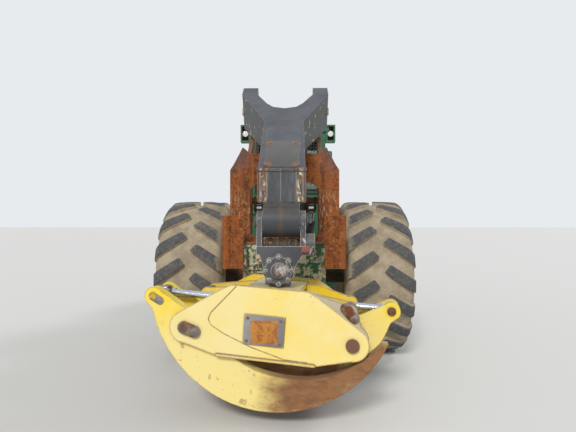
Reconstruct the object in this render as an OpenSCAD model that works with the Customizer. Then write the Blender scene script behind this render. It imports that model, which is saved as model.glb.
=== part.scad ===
// Articulated grapple skidder, seen from behind with its arch, boom and grapple.
// X is across the machine, Y forward, Z up, and the ground is z = 0.
// Heights are above the ground, and lengths along Y are from the rear axle.

/* [Machine] */
// Rear axle behind the middle of the machine
rear_axle_back = 1441.5; // [1420:0.5:1460]
// Distance between the axles
wheelbase = 3500; // [3450:10:3600]
// Steering hinge ahead of the rear axle
hinge_y = 1750; // [1740:5:1760]

/* [Wheels] */
// Radius of a tyre over its lugs
tyre_r = 915; // [905:5:925]
// Width of a tyre
tyre_w = 775; // [755:5:775]
// Middle of a tyre from the machine's middle
tyre_x = 1057; // [1057:2:1075]
// Height of the lugs
lug_h = 48; // [40:1:55]
// Width of a lug
lug_w = 92; // [80:1:105]
// Lugs on one side of a tyre
lug_count = 18; // [16:1:20]
// How far a lug leans back from the middle to the shoulder
lug_sweep = 270; // [230:5:300]
// Radius of the rim at the bead
rim_r = 406; // [400:1:412]
// Width of the rim
rim_w = 640; // [620:5:660]

/* [Frames] */
// Half width of the rear frame
rear_half = 330; // [325:1:335]
// Half width of the front frame
front_half = 360; // [350:2:370]
// Thickness of the frame's side plates
side_t = 30; // [24:1:36]
// Top of both frames
frame_top = 1150; // [1145:1:1155]
// Height where the axle pads seat
pad_z = 1040; // [1035:1:1045]
// Radius of a steering hinge pin
hinge_pin_r = 50; // [45:1:55]
// Thickness of a steering hinge lug
hinge_lug_t = 80; // [70:2:84]

/* [Arch] */
// Arch pivot behind the rear axle
arch_back = 560; // [550:2:570]
// Height of the arch pivot
arch_z = 1060; // [1055:1:1070]
// Half width of the arch
arch_half = 610; // [590:5:620]
// Inner face of the arch's main plates
arch_plate_x = 385; // [380:1:390]
// Thickness of the arch's main plates
arch_plate_t = 45; // [40:1:50]
// Rear face of the arch behind the rear axle
arch_rear = 700; // [695:1:710]
// Radius of the arch's pivot pins
arch_pin_r = 45; // [40:1:50]

/* [Boom] */
// Boom pivot behind the rear axle
boom_back = 180; // [175:1:190]
// Height of the boom pivot
boom_z = 2930; // [2920:2:2940]
// Slope of the boom's top plate
boom_slope = 34; // [33.5:0.1:34.5]
// Top plate above the pivot, square to the plate
boom_rise = 232; // [226:1:240]
// Half width of the boom's narrow part
boom_half = 206; // [200:1:210]
// Half width over the fork arms
fork_half = 515; // [510:1:520]
// Width of one fork arm
fork_arm = 180; // [178:1:186]
// Thickness of the boom's webs
web_t = 25; // [20:1:28]
// Radius of the boom's pivot pins
boom_pin_r = 45; // [40:1:50]

/* [Hanger] */
// Grapple hangs this far behind the rear axle
grapple_back = 1930; // [1925:1:1935]
// Height of the cross pin at the boom's tip
cross_pin_z = 1600; // [1595:1:1605]
// Radius of the knuckle at the boom's tip
knuckle_r = 130; // [120:2:136]
// Half length of the knuckle
knuckle_half = 155; // [150:1:158]
// Height of the fore and aft swing pin
swing_pin_z = 1205; // [1200:1:1210]
// Side offset of the fore and aft swing pin
swing_pin_x = -20; // [-40:5:40]
// Lean of the hanging grapple
grapple_roll = 4; // [0:0.5:6]
// Turn of the hanging grapple
grapple_yaw = -8; // [-15:1:15]

/* [Grapple] */
// Tong pivots below the swing pin
grapple_drop = 485; // [483:1:490]
// Half distance between the tong pivots
tong_x = 662; // [655:1:670]
// Radius of a tong pivot pin
tong_pin_r = 45; // [40:1:50]
// Outer radius of the tongs
tong_outer_r = 1000; // [990:2:1010]
// Inner radius of the tongs
tong_inner_r = 883; // [876:1:886]
// Outer face of the grapple frame's outer plates
plate_outer_y = 390; // [388:1:400]
// Thickness of the grapple frame's plates
plate_t = 30; // [24:1:32]
// Radius of a tong cylinder barrel
tong_barrel_r = 52; // [48:1:54]
// Radius of a tong cylinder rod
tong_rod_r = 32; // [28:1:34]

/* [Cab and hood] */
// Half width of the cab
cab_half = 635; // [620:1:640]
// Back wall of the cab ahead of the rear axle
cab_back_y = 2000; // [1995:1:2010]
// Front wall of the cab ahead of the rear axle
cab_front_y = 3240; // [3230:2:3244]
// Floor of the cab
cab_floor_z = 1250; // [1245:1:1255]
// Underside of the cab's roof
cab_top_z = 3080; // [3070:2:3090]
// Thickness of the cab's walls and doors
cab_wall = 45; // [40:1:50]
// Half width of the hood
hood_half = 520; // [510:2:540]
// Top of the hood
hood_top_z = 2150; // [2130:5:2170]
// Front of the hood ahead of the rear axle
hood_front_y = 4900; // [4890:2:4910]

/* [Blade] */
// Half width of the blade
blade_half = 1180; // [1150:5:1200]
// Height of the blade
blade_h = 720; // [700:5:740]
// Lower edge of the blade above the ground
blade_z = 320; // [310:5:330]

/* [Hidden] */

green = [0.10, 0.33, 0.22];
cream = [0.86, 0.76, 0.33];
rust = [0.42, 0.20, 0.10];
dark = [0.20, 0.22, 0.25];
tyre_grey = [0.22, 0.21, 0.20];
chrome = [0.75, 0.76, 0.78];
cast = [0.33, 0.30, 0.28];
yellow = [0.90, 0.72, 0.10];

// Clearance at curved running faces
run = 0.3;
axle_z = tyre_r;
front_axle_y = wheelbase;

// Everything is placed from the rear axle and then moved to the middle of the machine
module machine() {
  translate([0, -rear_axle_back, 0]) children();
}

// A copy on each side of the machine
module both_sides() {
  for (side = [0, 1]) mirror([side, 0, 0]) children();
}

// A plate drawn as an outline of Y and Z, from x0 to x1
module plate_x(x0, x1) {
  translate([x0, 0, 0]) rotate([90, 0, 90]) linear_extrude(x1 - x0) children();
}

// A plate drawn as an outline of X and Z, from y0 to y1
module plate_y(y0, y1) {
  translate([0, y1, 0]) rotate([90, 0, 0]) linear_extrude(y1 - y0) children();
}

// A bar along X from x0 to x1 through the point y, z
module bar_x(x0, x1, y, z, r) {
  translate([x0, y, z]) rotate([0, 90, 0]) cylinder(h = x1 - x0, r = r, $fn = 48);
}

// A bar along Y from y0 to y1 through the point x, z
module bar_y(y0, y1, x, z, r) {
  translate([x, y0, z]) rotate([-90, 0, 0]) cylinder(h = y1 - y0, r = r, $fn = 48);
}

// A box from its low corner to its high corner
module block(low, high) {
  translate(low) cube(high - low);
}

/* Wheels */

tread_base_r = tyre_r - lug_h;
tyre_half = tyre_w / 2;
side_n = 2 * lug_count;
lug_pitch = 180 / lug_count;
lug_half_angle = lug_w / 2 / tyre_r * 180 / PI;
lug_start_x = 30;

// Crown, shoulder and edge of the tread: [half width, radius] on a lug and then between lugs
tread_rows = [
  [tyre_half, 800, tyre_half - 26, 800],
  [tyre_half - 87, tyre_r - 12, tyre_half - 87, tread_base_r - 6],
  [lug_start_x, tyre_r, lug_start_x, tread_base_r]];
// Bead and side wall: [half width, radius]
wall_rows = [[rim_w / 2 - 30, (rim_r + run) / cos(lug_pitch / 2)], [tyre_half - 8, 640]];

function sweep_angle(x) = x / tyre_half * lug_sweep / tyre_r * 180 / PI;
function lug_angle(k, x) = k * lug_pitch - sweep_angle(x) + sweep_angle(lug_start_x) - lug_half_angle;
function wheel_point(x, r, a) = [x, r * sin(a), r * cos(a)];
function wall_ring(side, row) =
  [for (k = [0:side_n - 1]) wheel_point(side * row[0], row[1], lug_angle(k, tyre_half))];
function tread_point(side, row, k, end) =
  let (at = (k % 2 == 0) == (side > 0) ? 0 : 2)
  wheel_point(side * row[at], row[at + 1], lug_angle(k, row[0]) + end * lug_half_angle);
function tread_ring(side, row) =
  [for (k = [0:side_n - 1], end = [-1, 1]) tread_point(side, row, k, end)];
// Triangles between two rings that start at points a and b and have n points each
function band(a, b, n) = [for (j = [0:n - 1]) let (m = (j + 1) % n) each
  [[a + j, b + m, a + m], [a + j, b + j, b + m]]];
// The same where ring b has twice the points of ring a, and the other way round
function band_up(a, b, n) = [for (k = [0:n - 1]) let (m = (k + 1) % n, e = (2 * k + 2) % (2 * n)) each
  [[a + k, b + 2 * k, b + 2 * k + 1], [a + k, b + 2 * k + 1, a + m], [a + m, b + 2 * k + 1, b + e]]];
function band_down(a, b, n) = [for (k = [0:n - 1]) let (m = (k + 1) % n, e = (2 * k + 2) % (2 * n)) each
  [[a + 2 * k, b + k, a + 2 * k + 1], [a + 2 * k + 1, b + k, b + m], [a + 2 * k + 1, b + m, a + e]]];

// Tyre with chevron lugs, one skin of rings from the right bead over the tread to the left bead
module tyre_shape() {
  n = side_n;
  difference() {
    polyhedron(
      points = concat(
        wall_ring(1, wall_rows[0]), wall_ring(1, wall_rows[1]),
        tread_ring(1, tread_rows[0]), tread_ring(1, tread_rows[1]), tread_ring(1, tread_rows[2]),
        tread_ring(-1, tread_rows[2]), tread_ring(-1, tread_rows[1]), tread_ring(-1, tread_rows[0]),
        wall_ring(-1, wall_rows[1]), wall_ring(-1, wall_rows[0])),
      faces = concat(
        band(0, n, n), band_up(n, 2 * n, n),
        [for (i = [0:4]) each band((2 + 2 * i) * n, (4 + 2 * i) * n, 2 * n)],
        band_down(12 * n, 14 * n, n), band(14 * n, 15 * n, n), band(15 * n, 0, n)),
      convexity = 6);
    rotate([0, 90, 0]) rotate_extrude($fn = 12) polygon([
      [rim_r + 70, 230], [640, 310], [790, 250], [790, -250], [640, -310], [rim_r + 70, -230]]);
  }
}

module rim_shape() {
  half = rim_w / 2;
  rotate([0, 90, 0]) {
    rotate_extrude($fn = 72) polygon([
      [rim_r - 14, -half], [rim_r + 24, -half], [rim_r + 24, 14 - half], [rim_r, 24 - half],
      [rim_r, half - 24], [rim_r + 24, half - 14], [rim_r + 24, half], [rim_r - 14, half],
      [rim_r - 14, 30], [230, 60], [230, 36], [rim_r - 14, 4]]);
    translate([0, 0, 10]) cylinder(h = 60, r = 240, $fn = 64);
    cylinder(h = 150, r = 175, $fn = 64);
    translate([0, 0, 140]) cylinder(h = 50, r = 110, $fn = 48);
    for (i = [0:11])
      rotate([0, 0, i * 30]) translate([208, 0, 60]) cylinder(h = 32, r = 15, $fn = 6);
  }
}

module wheel_at(side, y) {
  translate([side * tyre_x, y, axle_z]) mirror([side < 0 ? 1 : 0, 0, 0]) children();
}

/* Axles and frames */

axle_tube_r = 105;
hub_inner_x = tyre_x;
bowl_r = 190;
pad_half_y = 150;

// Housing of one axle: tube, middle bowl, hubs and the flat pads under the frame
module axle_shape(half) {
  rotate([0, 90, 0]) {
    translate([0, 0, -hub_inner_x + 170]) cylinder(h = 2 * hub_inner_x - 340, r = axle_tube_r, $fn = 48);
    translate([0, 0, -150]) cylinder(h = 300, r = bowl_r, $fn = 64);
  }
  rotate([-90, 0, 0]) translate([0, 0, -260]) cylinder(h = 520, r = 150, $fn = 48);
  both_sides() {
    bar_x(hub_inner_x - 190, hub_inner_x, 0, 0, 165);
    bar_x(hub_inner_x - 240, hub_inner_x - 190, 0, 0, 190);
    block([half - side_t - 30, -pad_half_y, 0], [half + 30, pad_half_y, pad_z - axle_z]);
  }
}

hinge_low_z = 600;
hinge_high_z = 1170;
hinge_r = 115;
fork_lug_t = 40;
rear_narrow_y = 1400;
rear_narrow_half = 190;
frame_back_y = -840;

// Rear frame in plan: straight beside the axle and narrowing to the hinge
module rear_plan(inset) {
  polygon([
    [rear_half - inset, frame_back_y], [rear_half - inset, 900], [rear_narrow_half - inset, rear_narrow_y],
    [rear_narrow_half - inset, rear_narrow_y + 80], [inset - rear_narrow_half, rear_narrow_y + 80],
    [inset - rear_narrow_half, rear_narrow_y], [inset - rear_half, 900],
    [inset - rear_half, frame_back_y]]);
}

// Rear frame from the side: a notch clears the axle
module rear_side() {
  polygon([
    [frame_back_y, 830], [frame_back_y, frame_top], [830, frame_top], [rear_narrow_y + 80, frame_top + 140],
    [rear_narrow_y + 80, 560], [1000, 640], [pad_half_y + 160, 700], [pad_half_y + 12, 800],
    [pad_half_y + 12, pad_z], [-pad_half_y - 12, pad_z], [-pad_half_y - 12, 830]]);
}

steer_x = 400;
steer_back_y = 950;
steer_z = 900;
steer_eye_r = 48;
steer_lug_t = 20;
steer_gap = 30;

module rear_frame() {
  color(green) machine() {
    intersection() {
      plate_x(-rear_half, rear_half) rear_side();
      union() {
        difference() {
          linear_extrude(1400) rear_plan(0);
          translate([0, side_t, -1]) linear_extrude(1402) rear_plan(side_t);
        }
        linear_extrude(1400) intersection() {
          rear_plan(0);
          translate([-rear_half, rear_narrow_y + 50]) square([2 * rear_half, 30]);
        }
      }
    }
    intersection() {
      linear_extrude(1400) rear_plan(side_t);
      block([-rear_half, frame_back_y + side_t, frame_top - 40], [rear_half, 900, frame_top - 15]);
    }
    rear_cross_plate();
    rear_hinge_fork();
    rear_steer_lugs();
    arch_trunnions();
    arch_cylinder_feet();
  }
}

// Plate across the back, with a bracket for each log deflector
module rear_cross_plate() {
  block([-450, frame_back_y, 830], [450, frame_back_y + side_t, frame_top]);
  block([-450, frame_back_y - side_t, 1070], [450, frame_back_y, 1370]);
  block([-462, frame_back_y - side_t - 18, 1350], [462, frame_back_y, 1370]);
  both_sides() block([400, deflector_y + deflector_t, 1110], [470, frame_back_y + side_t, 1300]);
}

// Two forks that hold the hinge pins, above and below
module rear_hinge_fork() {
  for (z = [hinge_low_z - fork_lug_t, hinge_low_z + hinge_lug_t, hinge_high_z - fork_lug_t,
            hinge_high_z + hinge_lug_t])
    translate([0, 0, z]) linear_extrude(fork_lug_t) union() {
      translate([0, hinge_y]) circle(r = hinge_r, $fn = 48);
      translate([-hinge_r, rear_narrow_y + 70]) square([2 * hinge_r, hinge_y - rear_narrow_y - 70]);
    }
  for (z = [hinge_low_z, hinge_high_z])
    translate([0, hinge_y, z - fork_lug_t - 12])
      cylinder(h = hinge_lug_t + 2 * fork_lug_t + 24, r = hinge_pin_r, $fn = 48);
}

module steer_lug_pair(x_root, x_eye) {
  for (z = [steer_z - steer_gap - steer_lug_t, steer_z + steer_gap])
    translate([0, 0, z]) linear_extrude(steer_lug_t) union() {
      translate([x_eye, 0]) circle(r = steer_eye_r + 4, $fn = 40);
      translate([x_root, -60]) square([x_eye - x_root - 40, 100]);
      translate([x_root, -48]) square([x_eye - x_root, 70]);
    }
}

module rear_steer_lugs() {
  both_sides() translate([0, steer_back_y, 0]) {
    steer_lug_pair(rear_half - side_t - 30, steer_x);
    translate([steer_x, 0, steer_z - steer_gap - steer_lug_t - 8])
      cylinder(h = 2 * (steer_gap + steer_lug_t + 8), r = 24, $fn = 32);
  }
}

arch_y = -arch_back;
trunnion_r = 85;

// Stub pins outside the rear frame that the arch turns on
module arch_trunnions() {
  both_sides() {
    bar_x(rear_half - 5, arch_plate_x - run, arch_y, arch_z, trunnion_r);
    bar_x(rear_half - 5, arch_plate_x + arch_plate_t + 12, arch_y, arch_z, arch_pin_r);
  }
}

arch_foot_y = 700;
arch_foot_z = 1260;
lift_x = 310;
foot_t = 22;
foot_gap = 34;

// Feet of the arch cylinders on the rear frame's top
module arch_cylinder_feet() {
  both_sides() {
    for (x = [lift_x - foot_gap - foot_t, lift_x + foot_gap])
      plate_x(x, x + foot_t) union() {
        translate([arch_foot_y, arch_foot_z]) circle(r = lift_eye_r + 4, $fn = 40);
        translate([arch_foot_y - 90, frame_top - 10]) square([180, 60]);
        translate([arch_foot_y - 50, frame_top]) square([110, arch_foot_z - frame_top]);
      }
    block([lift_x - foot_gap - foot_t, arch_foot_y - 90, frame_top - 40],
      [lift_x + foot_gap + foot_t, arch_foot_y + 90, frame_top + 12]);
    bar_x(lift_x - foot_gap - foot_t - 8, lift_x + foot_gap + foot_t + 8, arch_foot_y, arch_foot_z, 30);
  }
}

module rear_axle() {
  color(cast) machine() translate([0, 0, axle_z]) axle_shape(rear_half);
}

front_back_y = hinge_y + 260;
front_front_y = 4860;

module front_frame() {
  color(green) machine() {
    difference() {
      union() {
        both_sides() plate_x(front_half - side_t, front_half) front_side();
        plate_y(front_back_y, front_back_y + side_t) polygon([
          [-front_half, 560], [front_half, 560], [front_half, frame_top + 100],
          [-front_half, frame_top + 100]]);
        plate_y(front_front_y - side_t, front_front_y) translate([-front_half, 700])
          square([2 * front_half, frame_top - 700]);
        block([-front_half, front_back_y, frame_top - 25], [front_half, 3260, frame_top]);
        for (z = [hinge_low_z, hinge_high_z])
          translate([0, 0, z]) linear_extrude(hinge_lug_t) union() {
            translate([0, hinge_y]) circle(r = hinge_r - 5, $fn = 48);
            translate([5 - hinge_r, hinge_y]) square([2 * hinge_r - 10, front_back_y - hinge_y + 10]);
          }
      }
      for (z = [hinge_low_z, hinge_high_z])
        translate([0, hinge_y, z - 5]) cylinder(h = hinge_lug_t + 10, r = hinge_pin_r + run, $fn = 48);
    }
    front_steer_lugs();
    blade_brackets();
  }
}

module front_side() {
  y = front_axle_y;
  polygon([
    [front_back_y, 560], [front_back_y, frame_top + 100], [front_back_y + 140, frame_top],
    [front_front_y, frame_top], [front_front_y, 700], [y + pad_half_y + 160, 700],
    [y + pad_half_y + 12, 800], [y + pad_half_y + 12, pad_z], [y - pad_half_y - 12, pad_z],
    [y - pad_half_y - 12, 800], [y - pad_half_y - 160, 700], [front_back_y + 300, 620]]);
}

steer_front_x = 300;
steer_front_y = hinge_y + 132;

module front_steer_lugs() {
  both_sides() {
    for (z = [steer_z - steer_gap - steer_lug_t, steer_z + steer_gap])
      translate([0, 0, z]) linear_extrude(steer_lug_t) union() {
        translate([steer_front_x, steer_front_y]) circle(r = steer_eye_r + 4, $fn = 40);
        translate([steer_front_x - 52, steer_front_y]) square([104, front_back_y - steer_front_y + 10]);
      }
    for (z = [steer_z - steer_gap - steer_lug_t - 8, steer_z + steer_gap + steer_lug_t])
      translate([steer_front_x, steer_front_y, z]) cylinder(h = 8, r = 24, $fn = 32);
  }
}

module front_axle() {
  color(cast) machine() translate([0, front_axle_y, axle_z]) axle_shape(front_half);
}

/* Power and cab */

module engine_block() {
  color(dark) machine() {
    block([-290, 3560, frame_top - 30], [290, 4480, 1900]);
    both_sides() for (y = [3640, 4190]) block([280, y, frame_top], [front_half, y + 90, frame_top + 30]);
  }
}

hood_back_y = cab_front_y + 6;
hood_t = 30;

// Hood across the machine: upright sides and a crowned top with chamfered edges
module hood_section(inset) {
  polygon([
    [inset - hood_half, frame_top], [inset - hood_half, hood_top_z - 160],
    [inset - hood_half + 130, hood_top_z - 20 - inset], [0, hood_top_z - inset],
    [hood_half - inset - 130, hood_top_z - 20 - inset], [hood_half - inset, hood_top_z - 160],
    [hood_half - inset, frame_top]]);
}

module hood() {
  color(green) machine() difference() {
    plate_y(hood_back_y, hood_front_y) hood_section(0);
    translate([0, 0, -1]) plate_y(hood_back_y + hood_t, hood_front_y + 1) hood_section(hood_t);
    both_sides() for (i = [0:6])
      block([hood_half - 60, 3650 + i * 130, 1500], [hood_half + 10, 3700 + i * 130, 1850]);
  }
  color(green) machine() both_sides()
    block([front_half - side_t, 4300, frame_top], [hood_half - hood_t, 4360, frame_top + 20]);
}

module radiator_grille() {
  color(dark) machine() {
    difference() {
      plate_y(hood_front_y, hood_front_y + 30) intersection() {
        hood_section(0);
        translate([-hood_half, frame_top + 30]) square([2 * hood_half, 1200]);
      }
      plate_y(hood_front_y - 1, hood_front_y + 31) translate([-hood_half + 70, frame_top + 100])
        square([2 * hood_half - 140, 740]);
    }
    for (i = [0:10])
      block([-hood_half + 60, hood_front_y + 6, frame_top + 130 + i * 65],
        [hood_half - 60, hood_front_y + 24, frame_top + 146 + i * 65]);
  }
}

module exhaust_stack() {
  color(rust) machine() translate([200, 3700, hood_top_z - 5]) {
    cylinder(h = 22, r = 95, $fn = 48);
    cylinder(h = 480, r = 62, $fn = 48);
    translate([0, 0, 120]) cylinder(h = 300, r = 85, $fn = 48);
    translate([0, 0, 470]) rotate([25, 0, 0]) cylinder(h = 160, r = 52, $fn = 48);
  }
}

door_back_y = 2070;
door_front_y = 2640;
door_low_z = 1330;
door_top_z = 2880;
door_gap = 6;
door_pin_x = cab_half + 17;
door_pin_y = door_front_y + 3;
door_pin_r = 10;
door_hinge_z = [1480, 2700];

// Cab walls with their window openings
module cab() {
  color(green) machine() difference() {
    block([-cab_half, cab_back_y, cab_floor_z], [cab_half, cab_front_y, cab_top_z]);
    block([cab_wall - cab_half, cab_back_y + cab_wall, cab_floor_z + cab_wall],
      [cab_half - cab_wall, cab_front_y - cab_wall, cab_top_z + 10]);
    block([-cab_half - 5, door_back_y - door_gap, door_low_z - door_gap],
      [cab_half + 5, door_front_y + door_gap, door_top_z + door_gap]);
    block([-cab_half - 5, door_front_y + 90, 2050], [cab_half + 5, cab_front_y - 90, 2940]);
    block([-cab_half + 110, cab_back_y - 5, 2060], [cab_half - 110, cab_back_y + cab_wall + 5, 2940]);
    block([-cab_half + 110, cab_front_y - cab_wall - 5, 2200],
      [cab_half - 110, cab_front_y + 5, 2960]);
  }
  color(green) machine() both_sides() {
    block([front_half - 120, 2100, frame_top], [front_half - side_t, 3180, cab_floor_z]);
    for (z = door_hinge_z) {
      translate([door_pin_x, door_pin_y, z - 42]) cylinder(h = 84, r = door_pin_r, $fn = 32);
      for (low = [z - 42, z + 30]) translate([0, 0, low]) linear_extrude(12) union() {
        translate([door_pin_x, door_pin_y]) circle(r = 16, $fn = 32);
        translate([cab_half - 2, door_pin_y + 5]) square([door_pin_x - cab_half + 16, 60]);
      }
    }
  }
}

// Roof plate with its rear light guards and lamps
module cab_roof() {
  color(green) machine() {
    block([-cab_half - 60, cab_back_y - 40, cab_top_z], [cab_half + 60, cab_front_y + 60, cab_top_z + 60]);
    both_sides() {
      difference() {
        block([cab_half + 5, cab_back_y - 40, cab_top_z - 180], [cab_half + 165, cab_back_y + 130, cab_top_z + 110]);
        block([cab_half + 30, cab_back_y - 50, cab_top_z - 155], [cab_half + 140, cab_back_y + 110, cab_top_z + 85]);
      }
      bar_y(cab_back_y - 20, cab_back_y + 111, cab_half + 85, cab_top_z - 40, 48);
    }
  }
}

module seat() {
  color(dark) machine() {
    block([-240, 2380, cab_floor_z + cab_wall], [240, 2860, 1620]);
    block([-270, 2360, 1620], [270, 2900, 1740]);
    translate([0, 2360, 1740]) rotate([8, 0, 0]) block([-260, -10, 0], [260, 100, 760]);
  }
}

module side_tanks() {
  color(green) machine() both_sides()
    translate([0, 0, 780]) linear_extrude(frame_top - 780) polygon([
      [front_half, 2160], [560, 2160], [tank_out_x, 2215], [tank_out_x, 2560], [front_half, 2560]]);
}

step_z = [420, 700, 980];

tank_out_x = 615;

// Ladders with three treads and the hand rails behind the cab's corners
module steps() {
  color(green) machine() both_sides() {
    for (z = step_z) block([660, 2240, z], [840, 2520, z + 24]);
    for (y = [2216, 2520]) block([tank_out_x, y, 420], [840, y + 24, frame_top]);
    block([front_half, 2130, frame_top], [840, 2560, frame_top + 24]);
    hand_rail();
  }
}

module hand_rail() {
  x = cab_half + 95;
  y = cab_back_y - 24;
  for (z = [1700, 2730]) {
    bar_x(cab_half - 60, x, y, z, 16);
    bar_y(y, cab_back_y, cab_half - 60, z, 22);
    translate([x, y, z]) sphere(r = 16, $fn = 32);
  }
  translate([x, y, 1700]) cylinder(h = 1030, r = 16, $fn = 32);
}

module door(side) {
  color(green) machine() mirror([side < 0 ? 1 : 0, 0, 0]) {
    for (z = door_hinge_z) translate([0, 0, z - 29]) difference() {
      union() {
        translate([door_pin_x, door_pin_y]) cylinder(h = 58, r = 16, $fn = 32);
        translate([cab_half - 1, door_front_y - 60]) cube([18, 62, 58]);
      }
      translate([door_pin_x, door_pin_y, -1]) cylinder(h = 60, r = door_pin_r + run, $fn = 32);
    }
    difference() {
      block([cab_half - cab_wall, door_back_y, door_low_z], [cab_half, door_front_y, door_top_z]);
      block([cab_half - cab_wall - 5, door_back_y + 80, 2000],
        [cab_half + 5, door_front_y - 80, door_top_z - 90]);
    }
    block([cab_half, door_back_y + 40, 1780], [cab_half + 30, door_back_y + 60, 1960]);
  }
}

module door_left() { door(-1); }
module door_right() { door(1); }

/* Blade */

blade_pivot_y = 4350;
blade_pivot_z = 640;
blade_arm_x = 460;
blade_arm_t = 60;
blade_y = 5180;
blade_r = 900;
blade_lift_x = 200;
blade_foot = [5010, 1330];
blade_eye_r = 40;
blade_eye = [5080, 700];

// Ears under the front frame that carry the blade's arms, and the feet of its cylinders
module blade_brackets() {
  both_sides() {
    plate_x(front_half - side_t, front_half) union() {
      translate([blade_pivot_y, blade_pivot_z]) circle(r = 95, $fn = 48);
      translate([blade_pivot_y - 95, blade_pivot_z]) square([190, 100]);
    }
    bar_x(front_half - 5, blade_arm_x - blade_arm_t / 2, blade_pivot_y, blade_pivot_z, 75);
    bar_x(front_half - 5, blade_arm_x + blade_arm_t / 2 + 12, blade_pivot_y, blade_pivot_z, 40);
    for (x = [blade_lift_x - 50, blade_lift_x + 30])
      plate_x(x, x + 20) union() {
        translate(blade_foot) circle(r = blade_eye_r + 4, $fn = 40);
        polygon([
          [front_front_y - 10, 900], [front_front_y - 10, frame_top - 2], [hood_front_y + 36, frame_top - 2],
          [hood_front_y + 36, blade_foot[1] - 20], [blade_foot[0] - 40, blade_foot[1] + 10],
          [blade_foot[0] + 20, blade_foot[1] + 34], [blade_foot[0], blade_foot[1] - 43],
          [blade_foot[0] - 43, blade_foot[1] - 52], [blade_foot[0] - 43, 1080], [front_front_y + 40, 900]]);
      }
    bar_x(blade_lift_x - 58, blade_lift_x + 58, blade_foot[0], blade_foot[1], 24);
  }
}

module blade() {
  color(green) machine() difference() {
    union() {
      intersection() {
        translate([-blade_half, blade_y + blade_r, blade_z + blade_h * 0.45]) rotate([0, 90, 0])
          difference() {
            cylinder(h = 2 * blade_half, r = blade_r, $fn = 96);
            translate([0, 0, -1]) cylinder(h = 2 * blade_half + 2, r = blade_r - 35, $fn = 96);
          }
        block([-blade_half, blade_y - 10, blade_z], [blade_half, blade_y + 400, blade_z + blade_h]);
      }
      both_sides() {
        plate_x(blade_arm_x - blade_arm_t / 2, blade_arm_x + blade_arm_t / 2) union() {
          translate([blade_pivot_y, blade_pivot_z]) circle(r = 90, $fn = 48);
          polygon([[blade_pivot_y, 550], [blade_pivot_y, 730], [blade_y + 20, 800], [blade_y + 20, 430]]);
        }
        block([-10, blade_eye[0] - 60, 480], [blade_arm_x, blade_eye[0] + 60, 600]);
        for (x = [blade_lift_x - 50, blade_lift_x + 30])
          plate_x(x, x + 20) union() {
            translate(blade_eye) circle(r = blade_eye_r + 4, $fn = 40);
            polygon([[blade_eye[0] - 50, 560], [blade_eye[0] - 44, 700], [blade_eye[0] + 44, 700],
              [blade_y + 15, 660], [blade_y + 15, 560]]);
          }
        for (x = [blade_lift_x - 58, blade_lift_x + 50]) bar_x(x, x + 8, blade_eye[0], blade_eye[1], 24);
      }
    }
    both_sides()
      bar_x(blade_arm_x - 60, blade_arm_x + 60, blade_pivot_y, blade_pivot_z, 40 + run);
  }
}

/* Cylinders */

// A barrel from its foot eye at the origin along +X, with the bores for its pin and its rod
module barrel_shape(length, r, rod_r, eye_r, eye_half, pin_r) {
  difference() {
    union() {
      rotate([90, 0, 0]) translate([0, 0, -eye_half]) cylinder(h = 2 * eye_half, r = eye_r, $fn = 48);
      translate([0, -eye_half, -eye_r * 0.7]) cube([eye_r + 20, 2 * eye_half, eye_r * 1.4]);
      rotate([0, 90, 0]) {
        translate([0, 0, eye_r + 9]) cylinder(h = length - eye_r - 9, r = r, $fn = 48);
        translate([0, 0, length - 70]) cylinder(h = 70, r = r + 4, $fn = 48);
      }
    }
    rotate([90, 0, 0]) translate([0, 0, -eye_half - 1])
      cylinder(h = 2 * eye_half + 2, r = pin_r + run, $fn = 48);
    rotate([0, 90, 0]) translate([0, 0, eye_r + 30]) cylinder(h = length, r = rod_r + run, $fn = 48);
  }
}

// A rod from its eye at the origin back along -X, with a flat neck and a collar behind it
module rod_shape(length, r, eye_r, eye_half, neck_more = 0, collar = 24) {
  neck = eye_r + 9 + neck_more;
  rotate([90, 0, 0]) translate([0, 0, -eye_half]) cylinder(h = 2 * eye_half, r = eye_r, $fn = 48);
  translate([-neck - 8, -eye_half, -r * 0.8]) cube([neck + 8, 2 * eye_half, r * 1.6]);
  rotate([0, -90, 0]) {
    translate([0, 0, neck]) cylinder(h = length - neck, r = r, $fn = 48);
    if (collar > 0) translate([0, 0, neck]) cylinder(h = collar, r = r + 9, $fn = 48);
  }
}

// Turns a shape that lies along +X to run from point a towards point b, both given as Y and Z
module aim_yz(a, b, x) {
  translate([x, a[0], a[1]]) rotate([atan2(b[1] - a[1], b[0] - a[0]), 0, 0]) rotate([0, 0, 90]) children();
}

// The same with both points given as X and Y, at height z
module aim_xy(a, b, z) {
  translate([a[0], a[1], z]) rotate([0, 0, atan2(b[1] - a[1], b[0] - a[0])]) rotate([90, 0, 0]) children();
}

eye_slack = 0.5;

// Steering
steer_barrel_len = 612;
steer_rod_len = 575;
steer_barrel_r = 50;
steer_rod_r = 28;
steer_foot = [steer_x, steer_back_y];
steer_eye = [steer_front_x, steer_front_y];

module steer_barrel(side) {
  color(dark) machine() mirror([side, 0, 0]) aim_xy(steer_foot, steer_eye, steer_z)
    barrel_shape(steer_barrel_len, steer_barrel_r, steer_rod_r, steer_eye_r, steer_gap - eye_slack, 24);
}

module steer_rod(side) {
  color(chrome) machine() mirror([side, 0, 0]) aim_xy(steer_foot, steer_eye, steer_z)
    translate([norm(steer_eye - steer_foot), 0, 0])
      rod_shape(steer_rod_len, steer_rod_r, steer_eye_r, steer_gap - 4, 12, 0);
}

module steer_barrel_left() { steer_barrel(1); }
module steer_barrel_right() { steer_barrel(0); }
module steer_rod_left() { steer_rod(1); }
module steer_rod_right() { steer_rod(0); }

// Arch lift
arch_lift_foot = [arch_foot_y, arch_foot_z];
arch_lift_eye = [250 - arch_back, arch_z + 690];
lift_eye_r = 56;

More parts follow.
